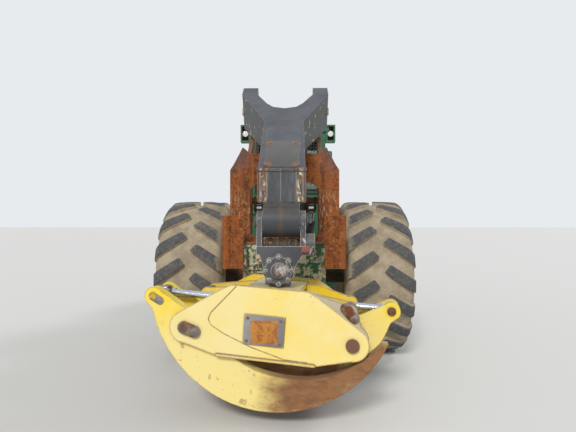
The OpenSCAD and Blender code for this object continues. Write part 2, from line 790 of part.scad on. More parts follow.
module arch_barrels() {
  color(dark) machine() for (side = [-1, 1]) aim_yz(arch_lift_foot, arch_lift_eye, side * lift_x)
    barrel_shape(705, 62, 40, lift_eye_r, foot_gap - eye_slack, 30);
}

module arch_rods() {
  color(chrome) machine() for (side = [-1, 1]) aim_yz(arch_lift_foot, arch_lift_eye, side * lift_x)
    translate([norm(arch_lift_eye - arch_lift_foot), 0, 0]) rod_shape(700, 40, lift_eye_r, foot_gap - 5);
}

/* Arch */

shoulder_z = 2225;
opening_half = 424;
opening_top_z = 2030;
opening_low_z = 1438;
cross_low_z = 1222;
boom_foot = [-380, 1400];
boom_lift_x = 190;

// Rear face of the arch with its rounded opening
module arch_face() {
  difference() {
    polygon([
      [-461, arch_z + 60], [461, arch_z + 60], [arch_half - 40, 1250], [arch_half, 1400],
      [arch_half, shoulder_z - 60], [arch_half - 40, shoulder_z], [467, 2420], [385, 2350], [-385, 2350],
      [-467, 2420], [40 - arch_half, shoulder_z], [-arch_half, shoulder_z - 60], [-arch_half, 1400],
      [40 - arch_half, 1250]]);
    translate([-opening_half, opening_low_z + 60])
      square([2 * opening_half, opening_top_z - opening_low_z - 260]);
    translate([60 - opening_half, opening_low_z]) square([2 * opening_half - 120, 80]);
    for (side = [-1, 1]) {
      translate([side * (opening_half - 60), opening_low_z + 60]) circle(r = 60, $fn = 40);
      translate([side * (opening_half - 200), opening_top_z - 200]) circle(r = 200, $fn = 64);
    }
    translate([200 - opening_half, opening_top_z - 220]) square([2 * opening_half - 400, 220]);
    translate([-arch_plate_x, arch_z]) square([2 * arch_plate_x, cross_low_z - arch_z]);
  }
}

// One main plate of the arch from the side: frame pivot, back edge, boom pivot, front edge
module arch_side() {
  back = -arch_rear;
  union() {
    translate([arch_y, arch_z]) circle(r = 100, $fn = 48);
    translate([-boom_back, boom_z]) circle(r = 108, $fn = 48);
    polygon([
      [arch_y - 80, arch_z - 60], [back, 1250], [back, shoulder_z], [-boom_back - 20, 2640],
      [-boom_back - 84, 2830],
      [-boom_back - 84, boom_z + 60], [-boom_back + 84, boom_z + 60], [-boom_back + 100, 2640],
      [-330, 2150], [-400, 1500], [arch_y + 96, arch_z - 20]]);
  }
}

module arch() {
  color(rust) machine() {
    difference() {
      union() {
        plate_y(-arch_rear, 30 - arch_rear) arch_face();
        both_sides() {
          plate_x(arch_plate_x, arch_plate_x + arch_plate_t) arch_side();
          plate_x(arch_half - 28, arch_half) polygon([
            [-arch_rear, 1400], [-arch_rear, shoulder_z - 70], [-470, shoulder_z - 160], [-470, 1480]]);
          block([arch_plate_x, -530, 1560], [arch_half, -480, 2000]);
        }
      }
      both_sides()
        bar_x(arch_plate_x - 10, arch_plate_x + arch_plate_t + 10, arch_y, arch_z, arch_pin_r + run);
    }
    bar_x(-arch_plate_x - 5, arch_plate_x + 5, -500, 1300, 62);
    both_sides() {
      bar_x(arch_plate_x - 55, fork_half + 12, -boom_back, boom_z, boom_pin_r);
      arch_lift_lugs();
      boom_foot_lugs();
    }
  }
}

// Lugs for the eye of an arch cylinder, on a stub from the main plate
module arch_lift_lugs() {
  y = arch_lift_eye[0];
  z = arch_lift_eye[1];
  for (x = [lift_x - foot_gap - foot_t, lift_x + foot_gap])
    plate_x(x, x + foot_t) union() {
      translate([y, z]) circle(r = lift_eye_r + 4, $fn = 40);
      polygon([[y - 30, z - 52], [y + 26, z + 54], [y - 90, z + 130], [y - 130, z + 40]]);
    }
  bar_x(lift_x - foot_gap - foot_t, arch_plate_x + 5, y - 105, z + 80, 38);
  for (x = [lift_x - foot_gap - foot_t - 8, lift_x + foot_gap + foot_t])
    bar_x(x, x + 8, y, z, 30);
}

boom_gap = 32;
boom_foot_t = 20;
boom_pin_lift_r = 30;

// Lugs on the arch's cross tube for the foot of a boom cylinder
module boom_foot_lugs() {
  y = boom_foot[0];
  z = boom_foot[1];
  for (x = [boom_lift_x - boom_gap - boom_foot_t, boom_lift_x + boom_gap])
    plate_x(x, x + boom_foot_t) union() {
      translate([y, z]) circle(r = boom_eye_r + 4, $fn = 40);
      polygon([[y - 50, z + 30], [y + 45, z - 35], [-470, 1255], [-545, 1330]]);
    }
  bar_x(boom_lift_x - boom_gap - boom_foot_t - 8, boom_lift_x + boom_gap + boom_foot_t + 8, y, z,
    boom_pin_lift_r);
}

deflector_x = 430;
deflector_y = -1000;
deflector_t = 25;
deflector_w = 225;
deflector_low_z = 1095;
deflector_h = 560;

// Upright rusty plates behind the tyres' inner walls, each with a rolled outer edge
module log_deflectors() {
  color(rust) machine() both_sides() translate([0, 0, deflector_low_z]) {
    linear_extrude(deflector_h) difference() {
      union() {
        translate([deflector_x, deflector_y]) square([deflector_w - 50, deflector_t]);
        translate([deflector_x + deflector_w - 50, deflector_y + deflector_t]) circle(r = 50, $fn = 48);
      }
      translate([deflector_x + deflector_w - 50, deflector_y + deflector_t]) circle(r = 26, $fn = 48);
      translate([deflector_x, deflector_y + deflector_t]) square([deflector_w, 80]);
    }
  }
}

/* Boom */

boom_tip = 1918;
boom_narrow = 850;
boom_wide = 24;
boom_fork = 193;
cut_end = 482;
lip = 12;

module boom_frame() {
  translate([0, -boom_back, boom_z]) rotate([boom_slope, 0, 0]) children();
}

// The boom in plan along its own slope, with the fork's cut-out, drawn smaller by inset
module boom_plan(inset, edge) {
  arm_in = fork_half - fork_arm + inset;
  half = boom_half + edge - inset;
  wide = fork_half - inset;
  polygon([
    [arm_in, boom_fork + edge], [wide, boom_fork + edge], [wide, -boom_wide], [half, -boom_narrow],
    [half, inset - boom_tip - 160], [-half, inset - boom_tip - 160], [-half, -boom_narrow],
    [-wide, -boom_wide], [-wide, boom_fork + edge], [-arm_in, boom_fork + edge], [-arm_in, -boom_wide],
    [-205 - inset * 0.5, -330 - inset], [-130, -440 - inset], [0, -cut_end - inset],
    [130, -440 - inset], [205 + inset * 0.5, -330 - inset], [arm_in, -boom_wide]]);
}

// The boom from its side: deep arms, a slimmer neck and the upright end of the tip
module boom_side(low) {
  polygon([
    [boom_fork, boom_rise], [boom_fork, low - 81], [-boom_wide, low - 81], [-boom_narrow, low],
    [20 - boom_tip, low], [-boom_tip - 159, -4], [-boom_tip, boom_rise]]);
}

boom_low = -125;
plate_top_t = 25;
tip_wall_t = 30;

module boom() {
  color(dark) machine() {
    difference() {
      boom_frame() union() {
        intersection() {
          plate_x(-fork_half, fork_half) boom_side(boom_low);
          translate([0, 0, -300]) linear_extrude(600) difference() {
            boom_plan(0, 0);
            boom_plan(web_t, 0);
          }
        }
        intersection() {
          plate_x(-fork_half - 20, fork_half + 20) boom_side(boom_low);
          translate([0, 0, boom_rise - plate_top_t]) linear_extrude(plate_top_t + 5) boom_plan(0, 0);
        }
        boom_lower_plate();
        boom_lift_lugs();
        boom_access_plate();
      }
      both_sides()
        bar_x(fork_half - fork_arm - 10, fork_half + 10, -boom_back, boom_z, boom_pin_r + run);
    }
    boom_tip_end();
  }
}

// Plate that closes the neck from below
module boom_lower_plate() {
  translate([web_t - boom_half - 1, -boom_tip + 10, boom_low])
    cube([2 * (boom_half - web_t) + 2, boom_tip - 900, web_t]);
}

lift_along = 560;
lift_below = 60;

// Lugs under the top plate for the eyes of the boom cylinders
module boom_lift_lugs() {
  both_sides() for (x = [boom_lift_x - boom_gap - boom_foot_t, boom_lift_x + boom_gap]) {
    plate_x(x, x + boom_foot_t) union() {
      translate([-lift_along, -lift_below]) circle(r = boom_eye_r + 4, $fn = 40);
      polygon([[-lift_along - 58, -lift_below], [-lift_along + 58, -lift_below],
        [-lift_along + 40, boom_rise - 10], [-lift_along - 200, boom_rise - 10]]);
    }
  }
  both_sides() for (x = [boom_lift_x - boom_gap - boom_foot_t - 8, boom_lift_x + boom_gap + boom_foot_t])
    bar_x(x, x + 8, -lift_along, -lift_below, boom_pin_lift_r);
}

// Rounded cover plate on the boom's top
module boom_access_plate() {
  w = 165;
  translate([0, -1330, boom_rise - 1]) linear_extrude(9) union() {
    translate([-w, -230]) square([2 * w, 460]);
    translate([50 - w, -280]) square([2 * w - 100, 560]);
    for (x = [50 - w, w - 50], y = [-230, 230]) translate([x, y]) circle(r = 50, $fn = 32);
  }
}

tip_y = -1900;
tip_low_z = 1765;

// Upright end plate of the boom and the knuckle block under it
module boom_tip_end() {
  block([-boom_half, tip_y - 10, tip_low_z], [boom_half, tip_y + tip_wall_t, 2050]);
  block([-boom_half - 10, tip_y - 24, 2038], [boom_half + 10, tip_y + 30, 2062]);
  block([-boom_half, tip_y, tip_low_z], [boom_half, -1690, tip_low_z + web_t]);
  plate_x(-knuckle_half, knuckle_half) polygon([
    [-grapple_back - 70, cross_pin_z + 60], [tip_y, tip_low_z + 5], [-1690, tip_low_z + 5],
    [-1760, cross_pin_z - 40], [-grapple_back, cross_pin_z - 40]]);
  bar_x(-knuckle_half, knuckle_half, -grapple_back, cross_pin_z, knuckle_r);
  bar_x(-knuckle_half - 70, knuckle_half + 70, -grapple_back, cross_pin_z, 50);
}

boom_eye = [-boom_back - lift_along * cos(boom_slope) + lift_below * sin(boom_slope),
  boom_z - lift_along * sin(boom_slope) - lift_below * cos(boom_slope)];
boom_eye_r = 54;

module boom_barrels() {
  color(dark) machine() for (side = [-1, 1]) aim_yz(boom_foot, boom_eye, side * boom_lift_x)
    barrel_shape(1060, 60, 38, boom_eye_r, boom_gap - eye_slack, boom_pin_lift_r);
}

module boom_rods() {
  color(chrome) machine() for (side = [-1, 1]) aim_yz(boom_foot, boom_eye, side * boom_lift_x)
    translate([norm(boom_eye - boom_foot), 0, 0]) rod_shape(650, 38, boom_eye_r, boom_gap - 5, 14);
}

/* Hanger */

hanger_y = -grapple_back;
arm_in_x = knuckle_half + 5;
arm_t = 45;
lug_in_y = 92;
lug_out_y = 132;
boss_r = 132;
boss_y = 176;
swing_barrel_r = 100;
swing_pin_r = 45;

module crosshead() {
  color(dark) machine() {
    difference() {
      union() {
        both_sides() plate_x(arm_in_x, arm_in_x + arm_t) union() {
          translate([hanger_y, cross_pin_z]) circle(r = 98, $fn = 48);
          polygon([[hanger_y - 98, cross_pin_z], [hanger_y + 98, cross_pin_z],
            [hanger_y + 125, 1350], [hanger_y - 125, 1350]]);
        }
        block([-arm_in_x - arm_t, hanger_y - lug_out_y, 1330], [arm_in_x + arm_t, hanger_y + lug_out_y, 1400]);
        for (y = [hanger_y - lug_out_y, hanger_y + lug_in_y])
          plate_y(y, y + lug_out_y - lug_in_y) union() {
            translate([swing_pin_x, swing_pin_z]) circle(r = boss_r - 4, $fn = 64);
            polygon([[swing_pin_x - 120, swing_pin_z], [swing_pin_x + 120, swing_pin_z],
              [arm_in_x + arm_t - 20, 1340], [20 - arm_in_x - arm_t, 1340]]);
          }
        scalloped_boss();
        snubber();
      }
      both_sides() bar_x(arm_in_x - 10, arm_in_x + arm_t + 10, hanger_y, cross_pin_z, 50 + run);
    }
    bar_y(hanger_y - lug_out_y, hanger_y + lug_out_y, swing_pin_x, swing_pin_z, swing_pin_r);
  }
}

// Round flange with eight bolt lugs on the rear face, and its domed middle
module scalloped_boss() {
  plate_y(hanger_y - boss_y, hanger_y - lug_out_y + 1) translate([swing_pin_x, swing_pin_z]) union() {
    circle(r = boss_r - 22, $fn = 64);
    for (i = [0:7]) rotate(i * 45) translate([boss_r - 26, 0]) circle(r = 26, $fn = 32);
  }
  bar_y(hanger_y - boss_y - 24, hanger_y - boss_y + 1, swing_pin_x, swing_pin_z, 62);
}

// Brake drum and block on the right arm that damp the swinging
module snubber() {
  bar_x(arm_in_x + arm_t - 2, 282, hanger_y, cross_pin_z - 190, 92);
  block([arm_in_x + arm_t - 2, hanger_y - 70, 1320], [270, hanger_y + 70, 1420]);
}

hose_r = 14;

// Three hoses that loop up between the crosshead's arms under the knuckle
module hanger_hoses() {
  color(dark) machine() translate([0, hanger_y, 0]) for (x = [-95, 0, 95]) translate([x, 0, 1400]) {
    for (side = [-1, 1]) translate([side * 30, 0, 0]) cylinder(h = 22, r = hose_r, $fn = 24);
    translate([0, 0, 22]) rotate([90, 0, 0]) rotate_extrude(angle = 180, $fn = 48)
      translate([30, 0]) circle(r = hose_r, $fn = 24);
  }
}

module hang() {
  translate([swing_pin_x, hanger_y, swing_pin_z]) rotate([0, grapple_roll, 0]) children();
}

top_plate_z = 310;
top_plate_t = 30;
flange_t = 20;
neck_r = 110;

// Barrel on the swing pin, and the rotator's neck and flange under the frame's top plate
module swing_head() {
  color(dark) machine() hang() {
    top = top_plate_z - grapple_drop;
    difference() {
      union() {
        bar_y(-88, 88, 0, 0, swing_barrel_r);
        intersection() {
          translate([0, 0, top + top_plate_t + 2]) cylinder(h = -top - top_plate_t - 2, r = neck_r, $fn = 64);
          block([-200, -88, -400], [200, 88, 0]);
        }
        translate([0, 0, top - flange_t]) cylinder(h = flange_t + top_plate_t + 3, r = neck_r - 24, $fn = 64);
        translate([0, 0, top - flange_t]) cylinder(h = flange_t, r = 160, $fn = 64);
      }
      bar_y(-90, 90, 0, 0, swing_pin_r + run);
    }
  }
}

/* Grapple, drawn around the middle between its tong pivots */

module grapple_place() {
  hang() rotate([0, 0, grapple_yaw]) translate([0, 0, -grapple_drop]) children();
}

plate_end_r = 125;
anchor_x = 620;
anchor_z = 205;
anchor_r = 66;
inner_y = 215;
upper_x = 960;
upper_z = 210;
upper_pin_r = 32;
bay_y = 100;
barrel_gap = 66;

// Outer plate: round ends at the pivots, sloping shoulders and a flat top
module outer_plate() {
  union() {
    for (side = [-1, 1]) translate([side * tong_x, 0]) circle(r = plate_end_r, $fn = 64);
    polygon([
      [-tong_x - 60, -108], [-tong_x + 260, -190], [tong_x - 260, -190], [tong_x + 60, -108],
      [tong_x + 70, 104], [380, 330], [300, 370], [-300, 370], [-380, 330], [-tong_x - 70, 104]]);
  }
}

// Inner plate: carries one cylinder's anchor and the right pivot
module inner_plate(left_reach) {
  union() {
    translate([tong_x, 0]) circle(r = plate_end_r, $fn = 64);
    translate([anchor_x, anchor_z]) circle(r = anchor_r, $fn = 48);
    if (left_reach > tong_x - 100) translate([-anchor_x, anchor_z]) circle(r = anchor_r, $fn = 48);
    polygon([
      [-left_reach, 140], [-200, -60], [200, -100], [tong_x, -120], [tong_x + 60, 110],
      [anchor_x + 50, anchor_z + 44], [320, 340], [-200, 340], [-left_reach, 271]]);
  }
}

module grapple_frame() {
  color(cream) machine() grapple_place() {
    for (y = [-plate_outer_y, plate_outer_y - plate_t]) plate_y(y, y + plate_t) outer_plate();
    plate_y(-inner_y - plate_t, -inner_y) inner_plate(230);
    plate_y(inner_y, inner_y + plate_t) inner_plate(anchor_x);
    difference() {
      block([-220, 1 - plate_outer_y, top_plate_z], [220, plate_outer_y - 1, top_plate_z + top_plate_t]);
      translate([0, 0, top_plate_z - 1]) cylinder(h = top_plate_t + 2, r = neck_r - 24 + run, $fn = 64);
    }
    bar_y(1 - plate_outer_y, plate_outer_y - 1, 0, 0, 50);
    for (side = [-1, 1]) {
      bar_y(-plate_outer_y - 14, plate_outer_y + 14, side * tong_x, 0, tong_pin_r);
      anchor_bridge(side);
    }
    cover_plate();
    outer_lip();
  }
}

// Anchor pin of one tong cylinder, from its inner plate to a rib by the middle
module anchor_bridge(side) {
  toward = side > 0 ? -1 : 1;
  low = min(toward * (inner_y + 10), toward * 6);
  high = max(toward * (inner_y + 10), toward * 6);
  bar_y(low, high, side * anchor_x, anchor_z, 30);
  rib = toward > 0 ? 6 : -28;
  plate_y(rib, rib + 22) union() {
    translate([side * anchor_x, anchor_z]) circle(r = anchor_r - 4, $fn = 48);
    polygon([[side * 172, top_plate_z + 5], [side * 218, top_plate_z + 5],
      [side * (anchor_x + 30), anchor_z + 54], [side * (anchor_x - 30), anchor_z - 54],
      [side * 172, 272]]);
  }
}

// Square cover with corner bolts on the rear face
module cover_plate() {
  translate([-20, -plate_outer_y - 12, 40]) difference() {
    translate([-160, 0, -115]) cube([320, 13, 230]);
    for (x = [-130, 130], z = [-88, 88]) translate([x, -1, z]) rotate([-90, 0, 0])
      cylinder(h = 4, r = 13, $fn = 24);
  }
}

// Flat strip that stiffens the outer plate's lower edge
module outer_lip() {
  for (y = [-plate_outer_y - 12, plate_outer_y - 1])
    block([-tong_x + 270, y, -196], [tong_x - 270, y + 13, -176]);
}

outer_c = [0, 400];
inner_c = [180, 560];
tip_z = 25;

// Crescent of a tong that hangs at the left and reaches to the right
module crescent() {
  difference() {
    translate(outer_c) circle(r = tong_outer_r, $fn = 180);
    translate(inner_c) circle(r = tong_inner_r, $fn = 180);
    translate([118 - tong_x, tip_z]) square([1800, 1500]);
    translate([-1200, 120]) square([1500, 1500]);
  }
}

// Root of a tong around its pivot
module tong_root() {
  translate([-tong_x, 0]) circle(r = 122, $fn = 64);
}

// Upper arm of a tong, from the pivot to the cylinder's pin
module horn() {
  union() {
    translate([-tong_x, 0]) circle(r = 112, $fn = 64);
    translate([-upper_x, upper_z]) circle(r = 74, $fn = 48);
    polygon([[-tong_x - 64, -92], [-tong_x + 64, 92], [-upper_x + 43, upper_z + 60],
      [-upper_x - 52, upper_z - 52]]);
  }
}

arm_in_y = 255;
arm_out_y = 350;
tube_r = 85;

module tong_left() {
  color(yellow) machine() grapple_place() {
    difference() {
      union() {
        for (y = [-arm_out_y, arm_in_y]) plate_y(y, y + arm_out_y - arm_in_y) union() {
          crescent();
          tong_root();
        }
        bar_y(1 - arm_out_y, arm_out_y - 1, -tong_x, 0, tube_r);
        plate_y(-arm_out_y, -arm_in_y) horn();
        plate_y(-30, -8) horn();
        bar_y(-arm_out_y - 6, -arm_in_y, -upper_x, upper_z, upper_pin_r);
      }
      bar_y(-400, 400, -tong_x, 0, tong_pin_r + run);
    }
  }
}

hub_half = 208;

module tong_right() {
  color(yellow) machine() grapple_place() mirror([1, 0, 0]) {
    difference() {
      union() {
        plate_y(-200, 200) difference() {
          crescent();
          polygon([[-1300, -60], [-tong_x - 60, -190], [-tong_x + 330, -60], [-tong_x + 330, 600], [-1300, 600]]);
        }
        plate_y(-200, 200) polygon([[-tong_x - 60, -70], [-tong_x + 80, 40], [-tong_x + 330, -130],
          [-tong_x + 200, -330], [-tong_x - 20, -270]]);
        for (y = [8, 160]) plate_y(y, y == 8 ? 30 : 204) union() {
          horn();
          crescent();
        }
        bar_y(-hub_half, hub_half, -tong_x, 0, 100);
        for (y = [4, 204]) bar_y(y, y + 6, -upper_x, upper_z, upper_pin_r);
      }
      bar_y(-400, 400, -tong_x, 0, tong_pin_r + run);
    }
  }
}

tong_len = norm([anchor_x + upper_x, anchor_z - upper_z]);
tong_lean = atan2(upper_z - anchor_z, anchor_x + upper_x);

// Runs from an anchor towards the far upper pin: side 1 is the left tong's cylinder
module tong_cylinder_place(side) {
  translate([side * anchor_x, -side * bay_y, anchor_z]) mirror([side > 0 ? 1 : 0, 0, 0])
    rotate([0, -tong_lean, 0]) children();
}

module tong_barrel(side) {
  color(dark) machine() grapple_place() tong_cylinder_place(side)
    barrel_shape(855, tong_barrel_r, tong_rod_r, 58, barrel_gap - 8, 30);
}

module tong_rod(side) {
  color(chrome) machine() grapple_place() tong_cylinder_place(side)
    translate([tong_len, 0, 0]) {
      rod_shape(760, tong_rod_r, 60, barrel_gap - 12);
      if (side > 0) bar_y(bay_y - arm_in_y + 5, 66, 0, 0, 50);
    }
}

module tong_barrel_left() { tong_barrel(1); }
module tong_barrel_right() { tong_barrel(-1); }
module tong_rod_left() { tong_rod(1); }
module tong_rod_right() { tong_rod(-1); }

module rim_at(side, y) { color(yellow) machine() wheel_at(side, y) rim_shape(); }
module tyre_at(side, y) { color(tyre_grey) machine() wheel_at(side, y) tyre_shape(); }
module rim_rear_left() { rim_at(-1, 0); }
module rim_rear_right() { rim_at(1, 0); }
module rim_front_left() { rim_at(-1, front_axle_y); }
module rim_front_right() { rim_at(1, front_axle_y); }
module tyre_rear_left() { tyre_at(-1, 0); }
module tyre_rear_right() { tyre_at(1, 0); }
module tyre_front_left() { tyre_at(-1, front_axle_y); }
module tyre_front_right() { tyre_at(1, front_axle_y); }

module blade_cylinder_place(side) {
  aim_yz(blade_foot, blade_eye, side * blade_lift_x) children();
}

module blade_barrels() {
  color(dark) machine() for (side = [-1, 1]) blade_cylinder_place(side)
    barrel_shape(475, 40, 24, blade_eye_r, 29, 24);
}

module blade_rods() {
  color(chrome) machine() for (side = [-1, 1]) blade_cylinder_place(side)
    translate([norm(blade_eye - blade_foot), 0, 0]) rod_shape(440, 24, blade_eye_r, 25, 0, 0);
}

rear_frame();
rear_axle();
front_frame();
front_axle();
engine_block();
hood();
radiator_grille();
exhaust_stack();
cab();
cab_roof();
seat();
side_tanks();
steps();
door_left();
door_right();
blade();
blade_barrels();
blade_rods();
steer_barrel_left();
steer_barrel_right();
steer_rod_left();
steer_rod_right();
arch();
log_deflectors();
arch_barrels();
arch_rods();
boom();
boom_barrels();
boom_rods();
crosshead();
hanger_hoses();
swing_head();
grapple_frame();
tong_left();
tong_right();
tong_barrel_left();
tong_barrel_right();
tong_rod_left();
tong_rod_right();
rim_rear_left();
rim_rear_right();
rim_front_left();
rim_front_right();
tyre_rear_left();
tyre_rear_right();
tyre_front_left();
tyre_front_right();
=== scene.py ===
import math

import bmesh
import bpy
from mathutils import Matrix, Vector


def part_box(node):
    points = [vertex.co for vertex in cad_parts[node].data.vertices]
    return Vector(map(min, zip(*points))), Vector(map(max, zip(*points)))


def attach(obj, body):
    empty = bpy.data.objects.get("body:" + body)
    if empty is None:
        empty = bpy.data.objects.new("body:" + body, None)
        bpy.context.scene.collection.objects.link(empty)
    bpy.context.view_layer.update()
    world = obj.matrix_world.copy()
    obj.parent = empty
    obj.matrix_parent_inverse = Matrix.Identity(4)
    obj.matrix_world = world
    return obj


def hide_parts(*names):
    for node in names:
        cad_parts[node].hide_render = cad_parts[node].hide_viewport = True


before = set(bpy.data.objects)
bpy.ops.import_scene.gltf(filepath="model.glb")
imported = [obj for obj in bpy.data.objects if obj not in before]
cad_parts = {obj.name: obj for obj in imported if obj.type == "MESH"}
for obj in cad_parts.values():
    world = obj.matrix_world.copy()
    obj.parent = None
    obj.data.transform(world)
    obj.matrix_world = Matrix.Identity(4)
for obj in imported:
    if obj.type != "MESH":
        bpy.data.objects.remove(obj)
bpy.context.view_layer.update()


# Camera: a hand-held view from behind the machine, at eye height and a little to the
# right of its middle. It looks level along the machine, so the horizon is half way up.
camera_place = (0.11, -7.3415, 1.65)
camera_turn = math.radians(0.79)
camera_lens = 29.1


def linked(name, data):
    holder = bpy.data.objects.new(name, data)
    bpy.context.scene.collection.objects.link(holder)
    return holder


lens_data = bpy.data.cameras.new("camera")
lens_data.lens = camera_lens
lens_data.sensor_width = 36.0
camera = linked("camera", lens_data)
camera.location = camera_place
camera.rotation_euler = (math.radians(90), 0, camera_turn)
bpy.context.scene.camera = camera
bpy.context.scene.view_settings.view_transform = "Standard"


# Node trees: Nodes builds any tree. Finish is one material, which lays colours over each
# other by their masks, on Object coordinates, and then takes a relief.
class Nodes:
    def __init__(self, tree):
        self.tree = tree

    def give(self, socket, value):
        if isinstance(value, bpy.types.NodeSocket):
            self.tree.links.new(value, socket)
        else:
            socket.default_value = value

    def add(self, kind, inputs=None, **settings):
        made = self.tree.nodes.new("ShaderNode" + kind)
        for key, value in settings.items():
            setattr(made, key, value)
        for key, value in (inputs or {}).items():
            self.give(made.inputs[key], value)
        return made

    def chain(self, operation, value, others):
        for other in others:
            value = self.add("Math", {0: value, 1: other}, operation=operation).outputs[0]
        return value

    def times(self, value, *others):
        return self.chain("MULTIPLY", value, others)

    def largest(self, value, *others):
        return self.chain("MAXIMUM", value, others)

    def plus(self, value, other):
        return self.chain("ADD", value, [other])

    def minus(self, value, other):
        return self.chain("SUBTRACT", value, [other])

    def absolute(self, value):
        return self.chain("ABSOLUTE", value, [0.0])

    def step(self, value, low, high):
        return self.add("MapRange", {"Value": value, "From Min": low, "From Max": high},
                        interpolation_type="SMOOTHSTEP").outputs["Result"]

    def between(self, value, low, high, soft):
        return self.times(self.step(value, low - soft, low + soft), self.step(value, high + soft, high - soft))

    def axes(self, vector):
        return self.add("SeparateXYZ", {0: vector}).outputs

    def normal(self):
        return self.add("NewGeometry").outputs["Normal"]

    def mix(self, mask, under, over):
        under, over = ((*part, 1.0) if isinstance(part, tuple) else part for part in (under, over))
        return self.add("Mix", {0: mask, 6: under, 7: over}, data_type="RGBA").outputs[2]

    def cloud(self, place, scale, detail, roughness=0.5, distortion=0.0):
        return self.add("TexNoise", {"Vector": place, "Scale": scale, "Detail": detail, "Roughness": roughness,
                                     "Distortion": distortion}).outputs["Fac"]


class Finish(Nodes):
    def __init__(self, name, colour, constants):
        self.material = bpy.data.materials.new(name)
        self.material.use_nodes = True
        super().__init__(self.material.node_tree)
        self.shader = self.tree.nodes["Principled BSDF"].inputs
        for socket, value in constants.items():
            self.shader[socket].default_value = value
        self.place = self.add("TexCoord").outputs["Object"]
        self.colour = colour

    def stretched(self, *scale):
        return self.add("Mapping", {"Vector": self.place, "Scale": scale}).outputs["Vector"]

    def noise(self, *values):
        return self.cloud(self.place, *values)

    def waves(self, scale, distortion=0.0, direction="X"):
        return self.add("TexWave", {"Vector": self.place, "Scale": scale, "Distortion": distortion},
                        bands_direction=direction).outputs["Fac"]

    def effect(self, group, **inputs):
        return self.add("Group", inputs, node_tree=group).outputs[0]

    def spots(self, scale, cover, softness, place=None):
        place = self.place if place is None else place
        return self.effect(patches, Place=place, Scale=scale, Cover=cover, Softness=softness)

    def streaks(self, scale, cover):
        return self.spots(scale, cover, 0.06, self.stretched(1.0, 1.0, 0.10))

    def edges(self, radius, breakup, amount):
        return self.effect(edge_wear, Place=self.place, Radius=radius, Breakup=breakup, Amount=amount)

    def dust(self, amount):
        return self.effect(settled_dust, Place=self.place, Amount=amount)

    def lay(self, over, *masks):
        self.colour = self.mix(self.times(*masks), self.colour, over)

    def roughen(self, mask, low, high):
        spread = self.add("MapRange", {"Value": mask, "To Min": low, "To Max": high})
        self.give(self.shader["Roughness"], spread.outputs["Result"])

    def done(self, height=None, depth=0.0, corner=0.003):
        self.give(self.shader["Base Color"], self.colour)
        if height is not None:
            soft_edge = self.add("Bevel", {"Radius": corner}, samples=4).outputs["Normal"]
            bump = self.add("Bump", {"Height": height, "Distance": depth, "Strength": 0.8, "Normal": soft_edge})
            self.give(self.shader["Normal"], bump.outputs["Normal"])
        return self.material


# Studio: a pale floor that runs out of sight, one large soft lamp high behind the camera
# and a fainter one from the other side. The backdrop is the colour of the world.
floor_reach = 60.0
floor_colour, floor_speck = (0.60, 0.60, 0.59), (0.64, 0.64, 0.63)
backdrop = (0.80, 0.83, 0.86)
fill_light = tuple(0.56 * part for part in (0.96, 0.98, 1.0))
lamp_softness = math.radians(14)
lamps = (("key", 2.15, (52, 0, -14), (1.0, 0.97, 0.92)), ("side", 0.95, (55, 0, 130), (0.92, 0.96, 1.0)))


def mesh_of(name, shape):
    data = bpy.data.meshes.new(name)
    shape.to_mesh(data)
    shape.free()
    return data


sheet = bmesh.new()
bmesh.ops.create_grid(sheet, x_segments=1, y_segments=1, size=floor_reach)
floor = linked("floor", mesh_of("floor", sheet))
floor_paint = Finish("pale floor", floor_colour, {"Roughness": 0.9})
floor_paint.lay(floor_speck, floor_paint.noise(40.0, 4.0))
floor.data.materials.append(floor_paint.done())

world = bpy.data.worlds.new("studio")
bpy.context.scene.world = world
world.use_nodes = True
sky = Nodes(world.node_tree)
ray = sky.add("LightPath").outputs
shown = sky.largest(ray["Is Camera Ray"], ray["Is Glossy Ray"], ray["Is Transmission Ray"])
light = sky.tree.nodes["Background"].inputs
light["Strength"].default_value = 1.0
sky.give(light["Color"], sky.mix(shown, fill_light, backdrop))
for name, strength, turn, colour in lamps:
    lamp = bpy.data.lights.new(name, "SUN")
    lamp.energy, lamp.angle, lamp.color = strength, lamp_softness, colour
    linked(name, lamp).rotation_euler = tuple(math.radians(part) for part in turn)


# Painted steel: plates cut and welded, primed and sprayed, then scraped by logs and rained
# on. Paint fades in clouds, chips at the edges, weeps rust and holds dust in its corners.
def new_group(name, *inputs):
    group = bpy.data.node_groups.new(name, "ShaderNodeTree")
    for socket in inputs:
        kind = "NodeSocketVector" if socket == "Place" else "NodeSocketFloat"
        group.interface.new_socket(socket, in_out="INPUT", socket_type=kind)
    group.interface.new_socket("Mask", in_out="OUTPUT", socket_type="NodeSocketFloat")
    given = group.nodes.new("NodeGroupInput").outputs
    return group, Nodes(group), given, group.nodes.new("NodeGroupOutput").inputs["Mask"]


edge_wear, tree, given, result = new_group("edge wear", "Place", "Radius", "Breakup", "Amount")
rounded_normal = tree.add("Bevel", {"Radius": given["Radius"]}, samples=4).outputs["Normal"]
fold = tree.add("VectorMath", {0: rounded_normal, 1: tree.normal()}, operation="DOT_PRODUCT").outputs["Value"]
crumbs = tree.plus(tree.cloud(given["Place"], given["Breakup"], 6.0, 0.7), given["Amount"])
tree.give(result, tree.step(tree.times(tree.step(fold, 0.995, 0.86), crumbs), 0.82, 0.98))

patches, tree, given, result = new_group("patches", "Place", "Scale", "Cover", "Softness")
limit = tree.minus(0.78, tree.times(given["Cover"], 0.56))
tree.give(result, tree.step(tree.cloud(given["Place"], given["Scale"], 9.0, 0.68, 0.4),
                            tree.minus(limit, given["Softness"]), tree.plus(limit, given["Softness"])))

